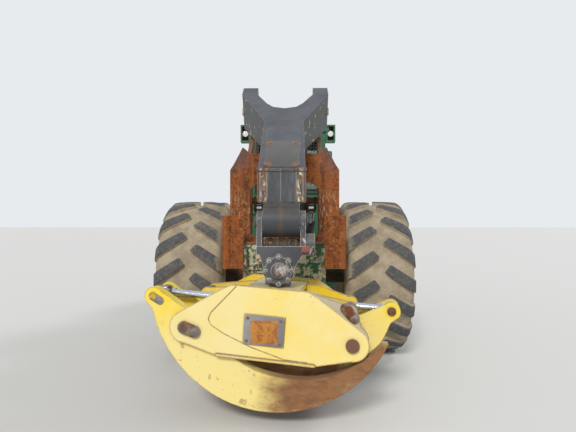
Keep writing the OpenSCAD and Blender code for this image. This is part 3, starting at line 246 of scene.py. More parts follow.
settled_dust, tree, given, result = new_group("settled dust", "Place", "Amount")
ledge = tree.step(tree.axes(tree.normal())["Z"], 0.15, 0.95)
corner = tree.step(tree.add("AmbientOcclusion", {"Distance": 0.10}, samples=4).outputs["AO"], 0.85, 0.25)
uneven = tree.step(tree.cloud(given["Place"], 7.0, 8.0, 0.65), 0.30, 0.62)
tree.give(result, tree.times(tree.largest(tree.times(ledge, 0.75), corner), uneven, given["Amount"]))

green = (0.012, 0.112, 0.052)
green_faded = (0.030, 0.150, 0.080)
rust_brown = (0.165, 0.058, 0.022)
bare_steel = (0.33, 0.30, 0.26)
trail_dust = (0.29, 0.235, 0.165)


def worn_paint(name, fresh, faded, chip=bare_steel, rust=rust_brown, grime=trail_dust, wear=0.42,
               rust_cover=0.25, dust=0.6, streak=0.25, gloss=0.42, marks=None, breakup=22.0, edge=0.010):
    paint = Finish(name, fresh, {"Specular IOR Level": 0.28})
    paint.lay(faded, paint.step(paint.noise(2.3, 8.0, 0.62), 0.35, 0.65))
    paint.lay(grime, paint.spots(48.0, 0.22, 0.03), 0.45)
    paint.lay(grime, paint.streaks(9.0, streak), 0.6)
    if marks:
        marks(paint)
    rusted = paint.spots(5.5, rust_cover, 0.025)
    thin = paint.edges(edge, breakup, wear)
    dusty = paint.dust(dust)
    paint.lay(rust, paint.spots(5.5, rust_cover + 0.10, 0.05), 0.35)
    paint.lay(rust, rusted)
    paint.lay(rust, paint.edges(edge * 1.8, breakup * 0.6, wear - 0.05), 0.85)
    paint.lay(chip, thin)
    paint.lay(grime, dusty)
    bare = paint.largest(rusted, thin, dusty)
    paint.roughen(bare, gloss, 0.86)
    return paint.done(paint.minus(paint.times(paint.noise(160.0, 3.0), 0.25), paint.times(bare, 0.8)), 0.0012)


def dress(material, *nodes):
    for node in nodes:
        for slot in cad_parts[node].material_slots:
            slot.material = material


back_plate_face = -0.78
back_plate_top = 1.345
chipped_cream = (0.55, 0.49, 0.36)
lip_rust = (0.26, 0.105, 0.040)


def back_plate_marks(paint):
    parts = paint.axes(paint.place)
    behind = paint.step(parts["Y"], back_plate_face, back_plate_face - 0.03)
    paint.lay(chipped_cream, behind, paint.spots(12.0, 0.50, 0.02))
    paint.lay(rust_brown, behind, paint.spots(30.0, 0.34, 0.02), 0.9)
    paint.lay(lip_rust, behind, paint.step(parts["Z"], back_plate_top, back_plate_top + 0.006))


green_steel = worn_paint("green painted steel", green, green_faded)
dress(worn_paint("green rear frame paint", green, green_faded, marks=back_plate_marks), "rear_frame")
dress(green_steel, "front_frame", "hood", "cab", "cab_roof", "door_left", "door_right", "side_tanks",
      "steps", "blade")


# Axles and engine: rough iron castings, painted once and since covered in oil and mud.
casting_paint = (0.050, 0.062, 0.050)
oily_mud = (0.115, 0.085, 0.055)
dress(worn_paint("oily iron casting", casting_paint, oily_mud, wear=0.35, rust_cover=0.38, dust=0.9,
                 gloss=0.55, breakup=14.0), "rear_axle", "front_axle", "engine_block")


# Arch, log deflectors and exhaust: thick plate that the logs have scoured bare, so that it
# has rusted all over in flakes, with cream paint left only in a few sheltered places.
rust_dark = (0.075, 0.027, 0.014)
rust_orange = (0.335, 0.105, 0.030)
rust_pale = (0.47, 0.27, 0.13)
rust_deep = (0.115, 0.036, 0.016)
shoulder_blue = (0.115, 0.098, 0.105)
old_cream = (0.58, 0.50, 0.33)
mottle_tan = (0.40, 0.29, 0.17)
upper_lug_low = 2.585
shoulder_low = 2.02
mottle_middle = 1.62


def rusted_plate(name, left_over, left_cover, bright=0.5, marks=None):
    plate = Finish(name, rust_brown, {"Roughness": 0.88, "Specular IOR Level": 0.2})
    plate.lay(rust_orange, plate.spots(4.2, bright, 0.10))
    plate.lay(rust_deep, plate.step(plate.noise(27.0, 10.0, 0.75, 1.6), 0.47, 0.62))
    flakes = plate.spots(19.0, 0.45, 0.035)
    plate.lay(rust_dark, flakes, 0.55)
    plate.lay(rust_pale, plate.spots(33.0, 0.30, 0.03), 0.65)
    plate.lay(rust_orange, plate.streaks(15.0, 0.50), 0.62)
    kept = plate.spots(6.5, left_cover, 0.03)
    plate.lay(left_over, kept)
    if marks:
        marks(plate)
    plate.lay(rust_pale, plate.edges(0.010, 16.0, 0.42))
    plate.lay(trail_dust, plate.dust(0.45))
    return plate.done(plate.minus(plate.times(kept, 0.6), flakes), 0.0022, corner=0.006)


def arch_marks(plate):
    parts = plate.axes(plate.place)
    shifted = plate.plus(plate.absolute(parts["X"]), plate.times(plate.noise(9.0, 8.0, 0.7), 0.30))
    plate.lay(shoulder_blue, plate.step(shifted, 0.44, 0.70),
              plate.step(parts["Z"], shoulder_low, shoulder_low + 0.35), 0.75)
    upright = plate.stretched(1.0, 1.0, 0.30)
    off_middle = plate.absolute(plate.minus(parts["Z"], mottle_middle))
    plate.lay(mottle_tan, plate.spots(44.0, 0.40, 0.03, upright), plate.step(off_middle, 0.42, 0.10), 0.8)
    plate.lay(old_cream, plate.step(parts["Z"], upper_lug_low, upper_lug_low + 0.05),
              plate.spots(11.0, 0.74, 0.05, upright))


dress(rusted_plate("rusted deflector plate", old_cream, 0.08, bright=0.66), "log_deflectors")
dress(rusted_plate("heat rusted pipe", rust_dark, 0.35, bright=0.35), "exhaust_stack")
dress(rusted_plate("rusted arch plate", old_cream, 0.16, marks=arch_marks), "arch")


# Cylinders: drawn tube sprayed dark with the boom, and rods ground and plated so that the
# seals run on them. The rods stay bright where they slide and grey near their eyes.
dark_paint = (0.040, 0.047, 0.060)
dark_faded = (0.074, 0.083, 0.097)
scuff_grey = (0.36, 0.35, 0.33)
plating, plating_stained = (0.56, 0.60, 0.68), (0.30, 0.30, 0.32)
cylinders = ("arch{}s", "boom{}s", "blade{}s", "steer{}_left", "steer{}_right", "tong{}_left", "tong{}_right")

dress(worn_paint("dark cylinder paint", dark_paint, dark_faded, scuff_grey, wear=0.40, rust_cover=0.18,
                 gloss=0.40, breakup=26.0), *(name.format("_barrel") for name in cylinders))
chrome = Finish("plated rod", plating, {"Metallic": 1.0})
stain = chrome.spots(14.0, 0.30, 0.12)
chrome.lay(plating_stained, stain)
chrome.roughen(stain, 0.12, 0.42)
dress(chrome.done(chrome.noise(260.0, 2.0), 0.0002, corner=0.002), *(name.format("_rod") for name in cylinders))


# Tyres: wide forestry tyres with chevron lugs, moulded rubber. The lugs are scrubbed dark and
# smooth, and tan mud has dried between them and up the side walls.
tyre_radius = 0.915
tyre_half = 0.3875
lug_height = 0.048
lug_width = 0.124
lug_sweep = 0.270
lug_count = 18
lug_inner, lug_outer = 0.058, tyre_half - 0.006
lug_foot = 0.012
end_slant = 0.55
shoulder_at, shoulder_drop = 0.300, 0.010
lug_end_radius = 0.806
mud_mantle = 0.285
rubber, rubber_scrubbed = (0.078, 0.079, 0.083), (0.150, 0.147, 0.143)
dried_mud, pale_mud, wet_mud = (0.285, 0.235, 0.165), (0.415, 0.350, 0.255), (0.22, 0.18, 0.13)
rim_yellow, rim_faded = (0.72, 0.50, 0.055), (0.62, 0.47, 0.13)
valve_reach = 0.330
wheel_turn = {"left": 0.11, "right": 0.02}
both_sides = {"left": -1, "right": 1}
carcass_line = ((0.290, 0.412), (0.318, 0.425), (0.326, 0.448), (0.340, 0.470), (0.362, 0.515),
                (0.366, 0.520), (0.376, 0.570), (0.382, 0.640), (0.379, 0.700), (0.384, 0.705),
                (0.384, 0.722), (0.377, 0.728), (0.370, 0.770), (0.352, 0.812), (0.322, 0.845),
                (0.270, 0.858), (0.180, 0.864), (0.090, 0.867), (0.0, 0.868))
tread_line = sorted(carcass_line[12:])


def carcass_radius(across):
    across = min(abs(across), tread_line[-1][0])
    for (near, near_r), (far, far_r) in zip(tread_line, tread_line[1:]):
        if across <= far:
            return near_r + (far_r - near_r) * (across - near) / (far - near)


def as_piece(name, shape, material, body, smooth=40):
    data = mesh_of(name, shape)
    data.materials.append(material)
    if smooth:
        data.shade_smooth()
        data.set_sharp_from_angle(angle=math.radians(smooth))
    piece = linked(name, data)
    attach(piece, body)
    return piece


def soften(shape, edges, offset, segments=2, affect="EDGES"):
    bmesh.ops.bevel(shape, geom=edges, offset=offset, segments=segments, profile=0.5, affect=affect,
                    material=-1)


def move(shape, matrix, verts=None):
    bmesh.ops.transform(shape, matrix=matrix, verts=shape.verts if verts is None else verts)


def face_out(shape):
    bmesh.ops.recalc_face_normals(shape, faces=shape.faces)


def at(*place):
    return Matrix.Translation(place)


def turned(degrees, axis):
    return Matrix.Rotation(math.radians(degrees), 4, axis)


def lug_top(across):
    shoulder = tyre_radius - shoulder_drop
    if across < shoulder_at:
        return tyre_radius + (shoulder - tyre_radius) * (across / shoulder_at) ** 2
    share = (across - shoulder_at) / (tyre_half - 0.004 - shoulder_at)
    return shoulder + (lug_end_radius - shoulder) * share ** 1.7


def span(edge, axis):
    return abs(edge.verts[0].co[axis] - edge.verts[1].co[axis])


def lug_shape():
    lug = bmesh.new()
    bmesh.ops.create_cube(lug, size=1.0)
    lengthwise = [edge for edge in lug.edges if span(edge, 0) > 0.5]
    bmesh.ops.subdivide_edges(lug, edges=lengthwise, cuts=9, use_grid_fill=True)
    soften(lug, [edge for edge in lug.edges
                 if span(edge, 2) > 0.5 and all(end.co.x < -0.49 for end in edge.verts)], 0.10, segments=3)
    soften(lug, [edge for edge in lug.edges if all(end.co.z > 0.49 for end in edge.verts)
                 and any(abs(face.normal.z) < 0.5 for face in edge.link_faces)], 0.07)
    for vertex in lug.verts:
        share, side, rise = vertex.co.x + 0.5, vertex.co.y, vertex.co.z + 0.5
        slant = side * lug_width * end_slant * (1.0 - share)
        across = lug_inner + share * (lug_outer - lug_inner) + slant
        flare = 1.0 + 0.30 * (1.0 - rise) + 0.16 * share
        angle = (side * lug_width * flare - lug_sweep * (across / tyre_half) ** 0.92) / tyre_radius
        low = carcass_radius(across) - lug_foot
        radius = low + (lug_top(across) - low) * rise
        vertex.co = Vector((across, radius * math.sin(angle), radius * math.cos(angle)))
    return mesh_of("lug", lug)


lug = lug_shape()


def tyre_shape(inward):
    tyre = bmesh.new()
    line = [tyre.verts.new((across, 0.0, radius)) for across, radius in carcass_line]
    line += [tyre.verts.new((-across, 0.0, radius)) for across, radius in reversed(carcass_line[:-1])]
    edges = [tyre.edges.new(pair) for pair in zip(line, line[1:])]
    bmesh.ops.spin(tyre, geom=line + edges, cent=(0, 0, 0), axis=(1, 0, 0), angle=math.tau, steps=96,
                   use_merge=True, use_duplicate=False)
    bmesh.ops.remove_doubles(tyre, verts=tyre.verts, dist=1e-5)
    face_out(tyre)
    for count in range(lug_count):
        for half in (1, -1):
            before = len(tyre.verts)
            tyre.from_mesh(lug)
            tyre.verts.ensure_lookup_table()
            added = tyre.verts[before:]
            spun = Matrix.Rotation(-(count + 0.25 * half) * math.tau / lug_count, 4, "X")
            move(tyre, spun @ Matrix.Diagonal((half, 1, 1, 1)), added)
            if half < 0:
                mirrored = {face for vertex in added for face in vertex.link_faces}
                bmesh.ops.reverse_faces(tyre, faces=list(mirrored))
    height = tyre.verts.layers.float.new("scrubbed")
    for vertex in tyre.verts:
        radius = math.hypot(vertex.co.y, vertex.co.z)
        sheltered = min(1.0, max(0.0, (vertex.co.x * inward - mud_mantle) / 0.06))
        vertex[height] = (radius - carcass_radius(vertex.co.x)) / lug_height - 0.55 * sheltered
    return tyre


def tyre_rubber():
    tread = Finish("tyre rubber", rubber, {"Roughness": 0.82, "Specular IOR Level": 0.25})
    height = tread.add("Attribute", attribute_name="scrubbed").outputs["Fac"]
    broad, fine = tread.noise(5.0, 8.0, 0.7), tread.noise(42.0, 6.0, 0.7)
    tread.lay(rubber_scrubbed, tread.spots(26.0, 0.42, 0.08), 0.6)
    mud = tread.mix(tread.step(broad, 0.36, 0.64), dried_mud, pale_mud)
    mud = tread.mix(tread.times(tread.spots(9.0, 0.30, 0.10), 0.5), mud, wet_mud)
    for uneven in (fine, broad):
        height = tread.plus(height, tread.times(tread.minus(uneven, 0.5), 0.9))
    muddy = tread.step(height, 0.98, 0.52)
    tread.lay(mud, muddy)
    crust = tread.times(muddy, tread.plus(fine, 0.4))
    return tread.done(tread.plus(crust, tread.times(fine, 0.3)), 0.004, corner=0.004)


muddy_rubber = tyre_rubber()
dress(worn_paint("yellow rim paint", rim_yellow, rim_faded, rust_brown, rust_brown, dried_mud, wear=0.45,
                 rust_cover=0.30, dust=0.9, streak=0.38),
      "rim_rear_left", "rim_rear_right", "rim_front_left", "rim_front_right")

for end in ("rear", "front"):
    for side, outward in both_sides.items():
        node, wheel = f"tyre_{end}_{side}", f"wheel_{end}_{side}"
        middle = sum(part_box(node), Vector()) / 2
        tyre = tyre_shape(-outward)
        move(tyre, at(*middle) @ Matrix.Rotation(wheel_turn[side], 4, "X"))
        piece = as_piece(f"{node}_tread", tyre, muddy_rubber, wheel, smooth=50)
        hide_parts(node)
        stem = bmesh.new()
        bmesh.ops.create_cone(stem, cap_ends=True, segments=12, radius1=0.009, radius2=0.006, depth=0.05)
        move(stem, at(*middle) @ at(outward * 0.060, 0, valve_reach) @ turned(90 * outward, "Y"))
        as_piece(f"valve_{end}_{side}", stem, muddy_rubber, wheel)


# Boom: a fabricated box that lies back over the arch, welded from plate and sprayed dark blue
# grey. Its side webs are scraped by logs, the end plate is chafed where the hanger rubs, and
# a bolted cover closes the top.
boom_paint, boom_faded = (0.050, 0.061, 0.086), (0.072, 0.084, 0.110)
plate_end_grey = (0.064, 0.068, 0.078)
web_grey = (0.080, 0.080, 0.078)
chip_cream = (0.62, 0.56, 0.42)
drum_dark, rust_and_highlight_stripe = (0.052, 0.053, 0.055), (0.125, 0.074, 0.040)
seam_grey, bleached_grey = (0.24, 0.245, 0.25), (0.165, 0.165, 0.165)
cover_grey_and_sheen, cover_faded_and_sheen = (0.075, 0.079, 0.085), (0.092, 0.096, 0.102)
corner_rust = (0.24, 0.105, 0.045)
boom_pivot = Vector((0, -1.6215, 2.930))
boom_lean = math.radians(34)
boom_rise = 0.232
drum_face = -3.20
end_face = -3.335
end_foot = 1.775
chafe_inner, chafe_outer = 0.128, 0.186


def boom_marks(paint):
    x, y, z = paint.axes(paint.place)
    sideways = paint.step(paint.absolute(paint.axes(paint.normal())["X"]), 0.25, 0.55)
    paint.lay(web_grey, sideways)
    paint.lay(chip_cream, sideways, paint.spots(11.0, 0.27, 0.02))
    drum = paint.times(paint.step(y, drum_face, drum_face - 0.08), paint.step(z, end_foot, end_foot - 0.004))
    paint.lay(drum_dark, drum, 0.8)
    # The narrow upright stripe laid on the drum is partly rust and partly a painted highlight where the drum
    # faces the light.
    wander = paint.plus(x, paint.times(paint.noise(16.0, 8.0, 0.75), 0.10))
    paint.lay(rust_and_highlight_stripe, drum, paint.between(wander, 0.036, 0.058, 0.016), 0.75)
    at_end = paint.times(paint.step(y, end_face, end_face - 0.012), paint.step(z, end_foot - 0.004, end_foot))
    paint.lay(plate_end_grey, at_end)
    tall = paint.stretched(1.0, 1.0, 0.16)
    chafed = paint.times(paint.between(paint.absolute(x), chafe_inner, chafe_outer, 0.014),
                         paint.spots(34.0, 0.56, 0.03, tall), at_end)
    paint.lay(chip_cream, chafed)
    paint.lay(rust_brown, chafed, paint.spots(26.0, 0.56, 0.03))
    paint.lay(seam_grey, paint.between(x, -0.012, -0.006, 0.003), at_end, 0.8)
    paint.lay(bleached_grey, at_end, paint.spots(15.0, 0.40, 0.12, tall), 0.55)


dress(worn_paint("scraped boom paint", boom_paint, boom_faded, scuff_grey, wear=0.40, rust_cover=0.06,
                 dust=0.20, streak=0.12, gloss=0.52, marks=boom_marks), "boom")
bolt_steel = worn_paint("rusty bolt steel", (0.135, 0.125, 0.115), rust_brown, rust=rust_orange, wear=0.5,
                        rust_cover=0.42, dust=0.3, gloss=0.5, edge=0.003)


def edges_of(verts):
    return list({edge for vertex in verts for edge in vertex.link_edges})


def added_since(shape, before):
    return [vertex for vertex in shape.verts if vertex not in before]


def add_disc(shape, radius, depth, sides, top_radius=None):
    return bmesh.ops.create_cone(shape, cap_ends=True, segments=sides, radius1=radius, depth=depth,
                                 radius2=radius if top_radius is None else top_radius)["verts"]


def add_bolt(shape, place, radius, height):
    before = set(shape.verts)
    washer = height * 0.22
    for size, low, high, sides in ((radius * 1.45, 0.0, washer, 20), (radius, washer, height, 6)):
        made = add_disc(shape, size, high - low, sides)
        move(shape, at(0, 0, (low + high) / 2), made)
        rim = [edge for edge in edges_of(made) if all(end.co.z > (low + high) / 2 for end in edge.verts)]
        soften(shape, rim, min(radius, height) * 0.12)
    move(shape, place, added_since(shape, before))


def add_box(shape, size):
    made = bmesh.ops.create_cube(shape, size=1.0)["verts"]
    bmesh.ops.scale(shape, vec=size, verts=made)
    return made


boom_place = at(*boom_pivot) @ Matrix.Rotation(boom_lean, 4, "X")
plate_middle, plate_half, plate_long = -1.628, 0.160, 0.262
plate_thick = 0.0125


def plate_marks(paint):
    back = boom_place.inverted().translation
    own = paint.add("Mapping", {"Vector": paint.place, "Location": back, "Rotation": (-boom_lean, 0.0, 0.0)})
    x, y, z = paint.axes(own.outputs["Vector"])
    along = paint.absolute(paint.minus(y, plate_middle))
    paint.lay(corner_rust, paint.step(paint.absolute(x), 0.070, 0.112), paint.step(along, 0.15, 0.21),
              paint.spots(24.0, 0.55, 0.05))


# The cover plate is laid a lighter grey than the boom. This is partly its own paint and partly a painted sheen.
plate_paint = worn_paint("boom top plate paint and painted sheen", cover_grey_and_sheen, cover_faded_and_sheen, scuff_grey, wear=0.30,
                         rust_cover=0.05, dust=0.20, streak=0.1, gloss=0.55, marks=plate_marks, edge=0.004)
top_plate = bmesh.new()
add_box(top_plate, (2 * plate_half, 2 * plate_long, plate_thick))
soften(top_plate, [edge for edge in top_plate.edges if span(edge, 2) > 0.004], 0.060, segments=8)
soften(top_plate, [edge for edge in top_plate.edges if all(end.co.z > 0.002 for end in edge.verts)], 0.002)
move(top_plate, boom_place @ at(0, plate_middle, boom_rise + plate_thick / 2))
as_piece("boom_top_plate", top_plate, plate_paint, "boom", smooth=35)
plate_bolts = bmesh.new()
for across in (-0.122, 0.122):
    for along in (-0.215, 0.215):
        spot = at(across, plate_middle + along, boom_rise + plate_thick)
        add_bolt(plate_bolts, boom_place @ spot, 0.010, 0.007)
as_piece("boom_plate_bolts", plate_bolts, bolt_steel, "boom", smooth=30)


# Weld beads: the runs of filler metal where the plates of the boom and the grapple meet, laid
# by hand, so that they ripple along their length.
bead_radius = 0.006
bead_ripple = 0.16
bead_step = 0.012
end_plate_back = -3.353
end_plate_edge = 0.209


def facing(direction):
    return direction.to_track_quat("Z", "Y").to_matrix().to_4x4()


def add_bead(shape, place, corners, radius=bead_radius):
    points = []
    for start, end in zip(corners, corners[1:]):
        start, end = Vector(start), Vector(end)
        count = max(2, round((end - start).length / bead_step))
        points += [start.lerp(end, part / count) for part in range(count)]
    points.append(Vector(corners[-1]))
    ring = None
    for index, point in enumerate(points):
        ahead = points[min(index + 1, len(points) - 1)] - points[max(index - 1, 0)]
        size = radius * (1.0 + bead_ripple * (1 if index % 2 else -1))
        made = bmesh.ops.create_circle(shape, cap_ends=False, segments=6, radius=size)["verts"]
        move(shape, place @ at(*point) @ facing(ahead), made)
        edges = edges_of(made)
        if ring:
            bmesh.ops.bridge_loops(shape, edges=ring + edges)
        if index in (0, len(points) - 1):
            bmesh.ops.contextual_create(shape, geom=edges)
        ring = edges


boom_beads = bmesh.new()
for edge in (-end_plate_edge * 0.985, end_plate_edge * 0.985):
    add_bead(boom_beads, at(0, end_plate_back, 0), [(edge, 0, 1.772), (edge, 0, 2.034)])
add_bead(boom_beads, at(0, end_plate_back, 0), [(-0.200, -0.001, 2.036), (0.200, -0.001, 2.036)])
face_out(boom_beads)
as_piece("boom_weld_beads", boom_beads, bolt_steel, "boom", smooth=60)


# Hanger and swing head: cast steel hooks and a scalloped hub that carry the grapple, painted
# once, now polished to bare metal where the castings knock together. Rubber pads buffer them.
cast_grey, cast_faded = (0.056, 0.062, 0.074), (0.098, 0.102, 0.110)
polished = (0.66, 0.66, 0.66)
worn_silver = (0.44, 0.43, 0.41)
red_pad, red_faded, red_chip = (0.27, 0.085, 0.062), (0.22, 0.095, 0.075), (0.36, 0.20, 0.16)
worn_patch = Vector((0.012, -3.57, 1.208))
boss_middle = (-0.020, -3.5475, 1.205)
boss_lug_reach = 0.106
backward = turned(90, "X")


def hanger_marks(paint):
    far = paint.add("VectorMath", {0: paint.place, 1: worn_patch}, operation="DISTANCE").outputs["Value"]
    silver = paint.mix(paint.spots(40.0, 0.42, 0.04), worn_silver, rust_brown)
    paint.lay(silver, paint.step(far, 0.078, 0.036), paint.spots(22.0, 0.60, 0.03))
    paint.lay(polished, paint.step(paint.axes(paint.place)["X"], 0.165, 0.200), paint.spots(21.0, 0.34, 0.03))


hanger_paint = worn_paint("knocked casting paint", cast_grey, cast_faded, polished, wear=0.47,
                          rust_cover=0.16, dust=0.4, gloss=0.40, marks=hanger_marks, breakup=18.0)
dress(hanger_paint, "crosshead", "swing_head")

boss_bolts = bmesh.new()
for angle in range(0, 360, 45):
    spot = at(*boss_middle) @ turned(-angle, "Y") @ at(boss_lug_reach, 0, 0) @ turned(angle, "Y")
    add_bolt(boss_bolts, spot @ backward, 0.012, 0.011)
as_piece("hanger_boss_bolts", boss_bolts, hanger_paint, "crosshead", smooth=30)
boss_cap = bmesh.new()
bmesh.ops.create_uvsphere(boss_cap, u_segments=40, v_segments=20, radius=0.059)
move(boss_cap, at(*boss_middle) @ at(0, -0.024, 0) @ Matrix.Diagonal((1, 0.26, 1, 1)))
face_out(boss_cap)
as_piece("hanger_boss_cap", boss_cap, hanger_paint, "crosshead", smooth=60)


def block_between(shape, low, high, rounding=0.004):
    low, high = Vector(low), Vector(high)
    made = add_box(shape, high - low)
    bmesh.ops.translate(shape, vec=(low + high) / 2, verts=made)
    soften(shape, edges_of(made), rounding)


buffers = bmesh.new()
block_between(buffers, (-0.058, -3.352, 1.372), (0.052, -3.322, 1.394))
block_between(buffers, (0.166, -3.566, 1.352), (0.232, -3.520, 1.404), rounding=0.008)
buffer_rubber = worn_paint("perished buffer rubber", red_pad, red_faded, red_chip, wear=0.4,
                           rust_cover=0.12, gloss=0.7, edge=0.004)
as_piece("hanger_buffers", buffers, buffer_rubber, "crosshead", smooth=40)


# Hydraulic hoses: rubber over braided wire, swaged into steel ferrules at both ends. They are
# clamped to what carries them, and have a film of dust.
hose_black, hose_worn = (0.030, 0.030, 0.032), (0.075, 0.073, 0.070)
hose_radius = 0.009
hose_route = ((0.190, -3.530, 1.395), (0.215, -3.512, 1.372), (0.238, -3.500, 1.352), (0.246, -3.470, 1.372))

hose = Finish("hose rubber", hose_black, {"Roughness": 0.62})
hose.lay(hose_worn, hose.spots(34.0, 0.42, 0.10))
hose.lay(trail_dust, hose.dust(0.7))
hose_skin = hose.done(hose.waves(90.0, 1.5), 0.0006, corner=0.002)
dress(hose_skin, "hanger_hoses")
ferrule_steel = worn_paint("plated ferrule", (0.36, 0.34, 0.29), (0.28, 0.25, 0.19), wear=0.5, rust_cover=0.22,
                           gloss=0.35, edge=0.003)


def evaluated_mesh(piece):
    return bpy.data.meshes.new_from_object(piece.evaluated_get(bpy.context.evaluated_depsgraph_get()))


bends = bpy.data.curves.new("snubber hose", "CURVE")
bends.dimensions = "3D"
bends.bevel_depth = hose_radius
bends.bevel_resolution = 3
bends.resolution_u = 10
bends.use_fill_caps = True
line = bends.splines.new("BEZIER")
line.bezier_points.add(len(hose_route) - 1)
for knot, place in zip(line.bezier_points, hose_route):
    knot.co = place
    knot.handle_left_type = knot.handle_right_type = "AUTO"
holder = linked("snubber hose", bends)
hose_mesh = evaluated_mesh(holder)
bpy.data.objects.remove(holder)
shape = bmesh.new()
shape.from_mesh(hose_mesh)
bmesh.ops.remove_doubles(shape, verts=shape.verts, dist=1e-5)
face_out(shape)
as_piece("snubber_hose", shape, hose_skin, "crosshead", smooth=60)
ferrules = bmesh.new()
for place, toward in (hose_route[:2], hose_route[:-3:-1]):
    seat = at(*place) @ facing(Vector(toward) - Vector(place))
    add_bolt(ferrules, seat @ at(0, 0, -0.004), hose_radius * 1.35, 0.022)
    sleeve = add_disc(ferrules, hose_radius * 1.28, 0.050, 20, hose_radius * 1.22)
    move(ferrules, seat @ at(0, 0, 0.040), sleeve)
as_piece("snubber_hose_ferrules", ferrules, ferrule_steel, "crosshead", smooth=30)


# Grapple frame: flame-cut plates welded round the pins of two tongs, sprayed cream yellow. The
# paint is chipped along the top edges and bruised by timber. A bolted cover closes its middle.
# The pale cream is the lit look of the paint. Plates deeper in the frame are laid a darker,
# more saturated yellow as painted shade. The dark brown chips at the plate edges are partly
# real chips and partly painted shadow in the gaps between plates.
cream, cream_faded = (0.850, 0.665, 0.180), (0.830, 0.700, 0.310)
cream_dirt = (0.42, 0.36, 0.24)
chip_and_gap_shadow_brown = (0.205, 0.105, 0.050)
scrubbed_grey, top_grey = (0.52, 0.49, 0.40), (0.50, 0.475, 0.395)
deep_plate_shaded_yellow = (0.860, 0.600, 0.020)
bleached_cream = (0.86, 0.76, 0.44)
plate_grey, plate_faded = (0.195, 0.200, 0.202), (0.30, 0.30, 0.29)
rust_ochre = (0.50, 0.215, 0.040)
grapple_place = at(-0.020, -3.3715, 1.205) @ turned(4, "Y") @ turned(-8, "Z") @ at(0, 0, -0.485)
grapple_aim = (0.139, 0.990)
outer_face = -0.390
second_plate = -3.585
cover_centre = grapple_place @ Vector((-0.014, outer_face - 0.0155, 0.030))


def frame_marks(paint):
    parts = paint.axes(paint.place)
    own_depth = paint.plus(paint.times(parts["X"], grapple_aim[0]), paint.times(parts["Y"], grapple_aim[1]))
    paint.lay(scrubbed_grey, paint.step(own_depth, second_plate - 0.05, second_plate - 0.03),
              paint.spots(5.0, 0.72, 0.10))
    # Painted shade: plates deeper in the frame than the second plate are laid a darker, more saturated yellow
    # than the pale, lit cream of the front.
    paint.lay(deep_plate_shaded_yellow, paint.step(own_depth, second_plate + 0.05, second_plate + 0.08))
    upward = paint.step(paint.axes(paint.normal())["Z"], 0.25, 0.8)
    paint.lay(top_grey, upward, paint.spots(5.0, 0.66, 0.10), 0.9)
    paint.lay(chip_and_gap_shadow_brown, paint.spots(24.0, 0.22, 0.015), paint.step(parts["Z"], 0.94, 1.10))
    paint.lay(chip_and_gap_shadow_brown, paint.spots(30.0, 0.13, 0.012, paint.stretched(1.0, 1.0, 0.20)))
    paint.lay(bleached_cream, paint.spots(3.2, 0.45, 0.16), 0.35)


def cover_marks(paint):
    offset = paint.add("VectorMath", {0: paint.place, 1: cover_centre}, operation="SUBTRACT").outputs[0]
    x, y, z = (paint.absolute(part) for part in paint.axes(offset))
    paint.lay(paint.mix(paint.spots(19.0, 0.50, 0.08), rust_orange, rust_ochre), paint.step(x, 0.120, 0.092),
              paint.step(z, 0.100, 0.078), paint.spots(9.0, 0.66, 0.06))


# The frame's dark brown edge chips are partly worn paint and partly painted shadow in the gaps between the
# plates.
cream_steel = worn_paint("cream grapple paint", cream, cream_faded, chip_and_gap_shadow_brown, grime=cream_dirt, wear=0.53,
                         rust_cover=0.05, dust=0.5, streak=0.10, gloss=0.38, marks=frame_marks, edge=0.013)
dress(cream_steel, "grapple_frame")
cover_face = worn_paint("rusting cover plate", plate_grey, plate_faded, rust_orange, rust_orange, rust_pale,
                        wear=0.32, rust_cover=0.14, dust=0.15, gloss=0.55, marks=cover_marks, breakup=30.0,
                        edge=0.004)


def rounded_plate(shape, place, width, height, depth, corner, rounding=0.002):
    before = set(shape.verts)
    made = add_box(shape, (width, depth, height))
    soften(shape, [edge for edge in edges_of(made) if span(edge, 1) > depth * 0.9], corner, segments=6)
    soften(shape, [edge for edge in edges_of(added_since(shape, before))
                   if all(end.co.y < -depth * 0.49 for end in edge.verts)], rounding)
    move(shape, place, added_since(shape, before))


cover = bmesh.new()
rounded_plate(cover, grapple_place @ at(-0.020, outer_face - 0.0135, 0.040), 0.316, 0.226, 0.004, 0.020)
as_piece("grapple_cover_plate", cover, cover_face, "grapple_frame", smooth=35)
cover_bolts = bmesh.new()
for across in (-0.130, 0.130):
    for rise in (-0.088, 0.088):
        spot = at(-0.020 + across, outer_face - 0.0150, 0.040 + rise)
        add_bolt(cover_bolts, grapple_place @ spot @ backward, 0.009, 0.008)
as_piece("grapple_cover_bolts", cover_bolts, bolt_steel, "grapple_frame", smooth=30)


# Pin keepers: slotted steel straps that stop the pins from turning or creeping out, each held
# by one bolt. The pins that have none show a plain rusty end.
keeper_grey, keeper_worn = (0.235, 0.225, 0.205), (0.165, 0.150, 0.130)
pin_rust, pin_worn = (0.190, 0.088, 0.050), (0.125, 0.072, 0.048)
pivot_x = 0.662
keeper_steel = worn_paint("bare keeper steel", keeper_grey, keeper_worn, polished, wear=0.5, rust_cover=0.34,
                          dust=0.35, gloss=0.45, edge=0.004)
pin_steel = worn_paint("rusty pin end", pin_rust, pin_worn, rust_pale, rust_dark, wear=0.5, rust_cover=0.30,
                       dust=0.2, gloss=0.6, edge=0.004)


def add_keeper(shape, place, lean, length, width, thick, head=0.011):
    place = grapple_place @ at(*place) @ turned(lean, "Y")
    rounded_plate(shape, place @ at(length / 2 - width / 2, -thick / 2, 0), length, width, thick, width * 0.49)
    add_bolt(shape, place @ at(length - width, -thick, 0) @ backward, width * 0.16, head)


def dish(shape, verts, steps):
    top = [face for face in shape.faces if face.normal.z > 0.9 and set(face.verts) <= set(verts)]
    for thickness, depth in steps:
        bmesh.ops.inset_region(shape, faces=top, thickness=thickness, depth=depth)


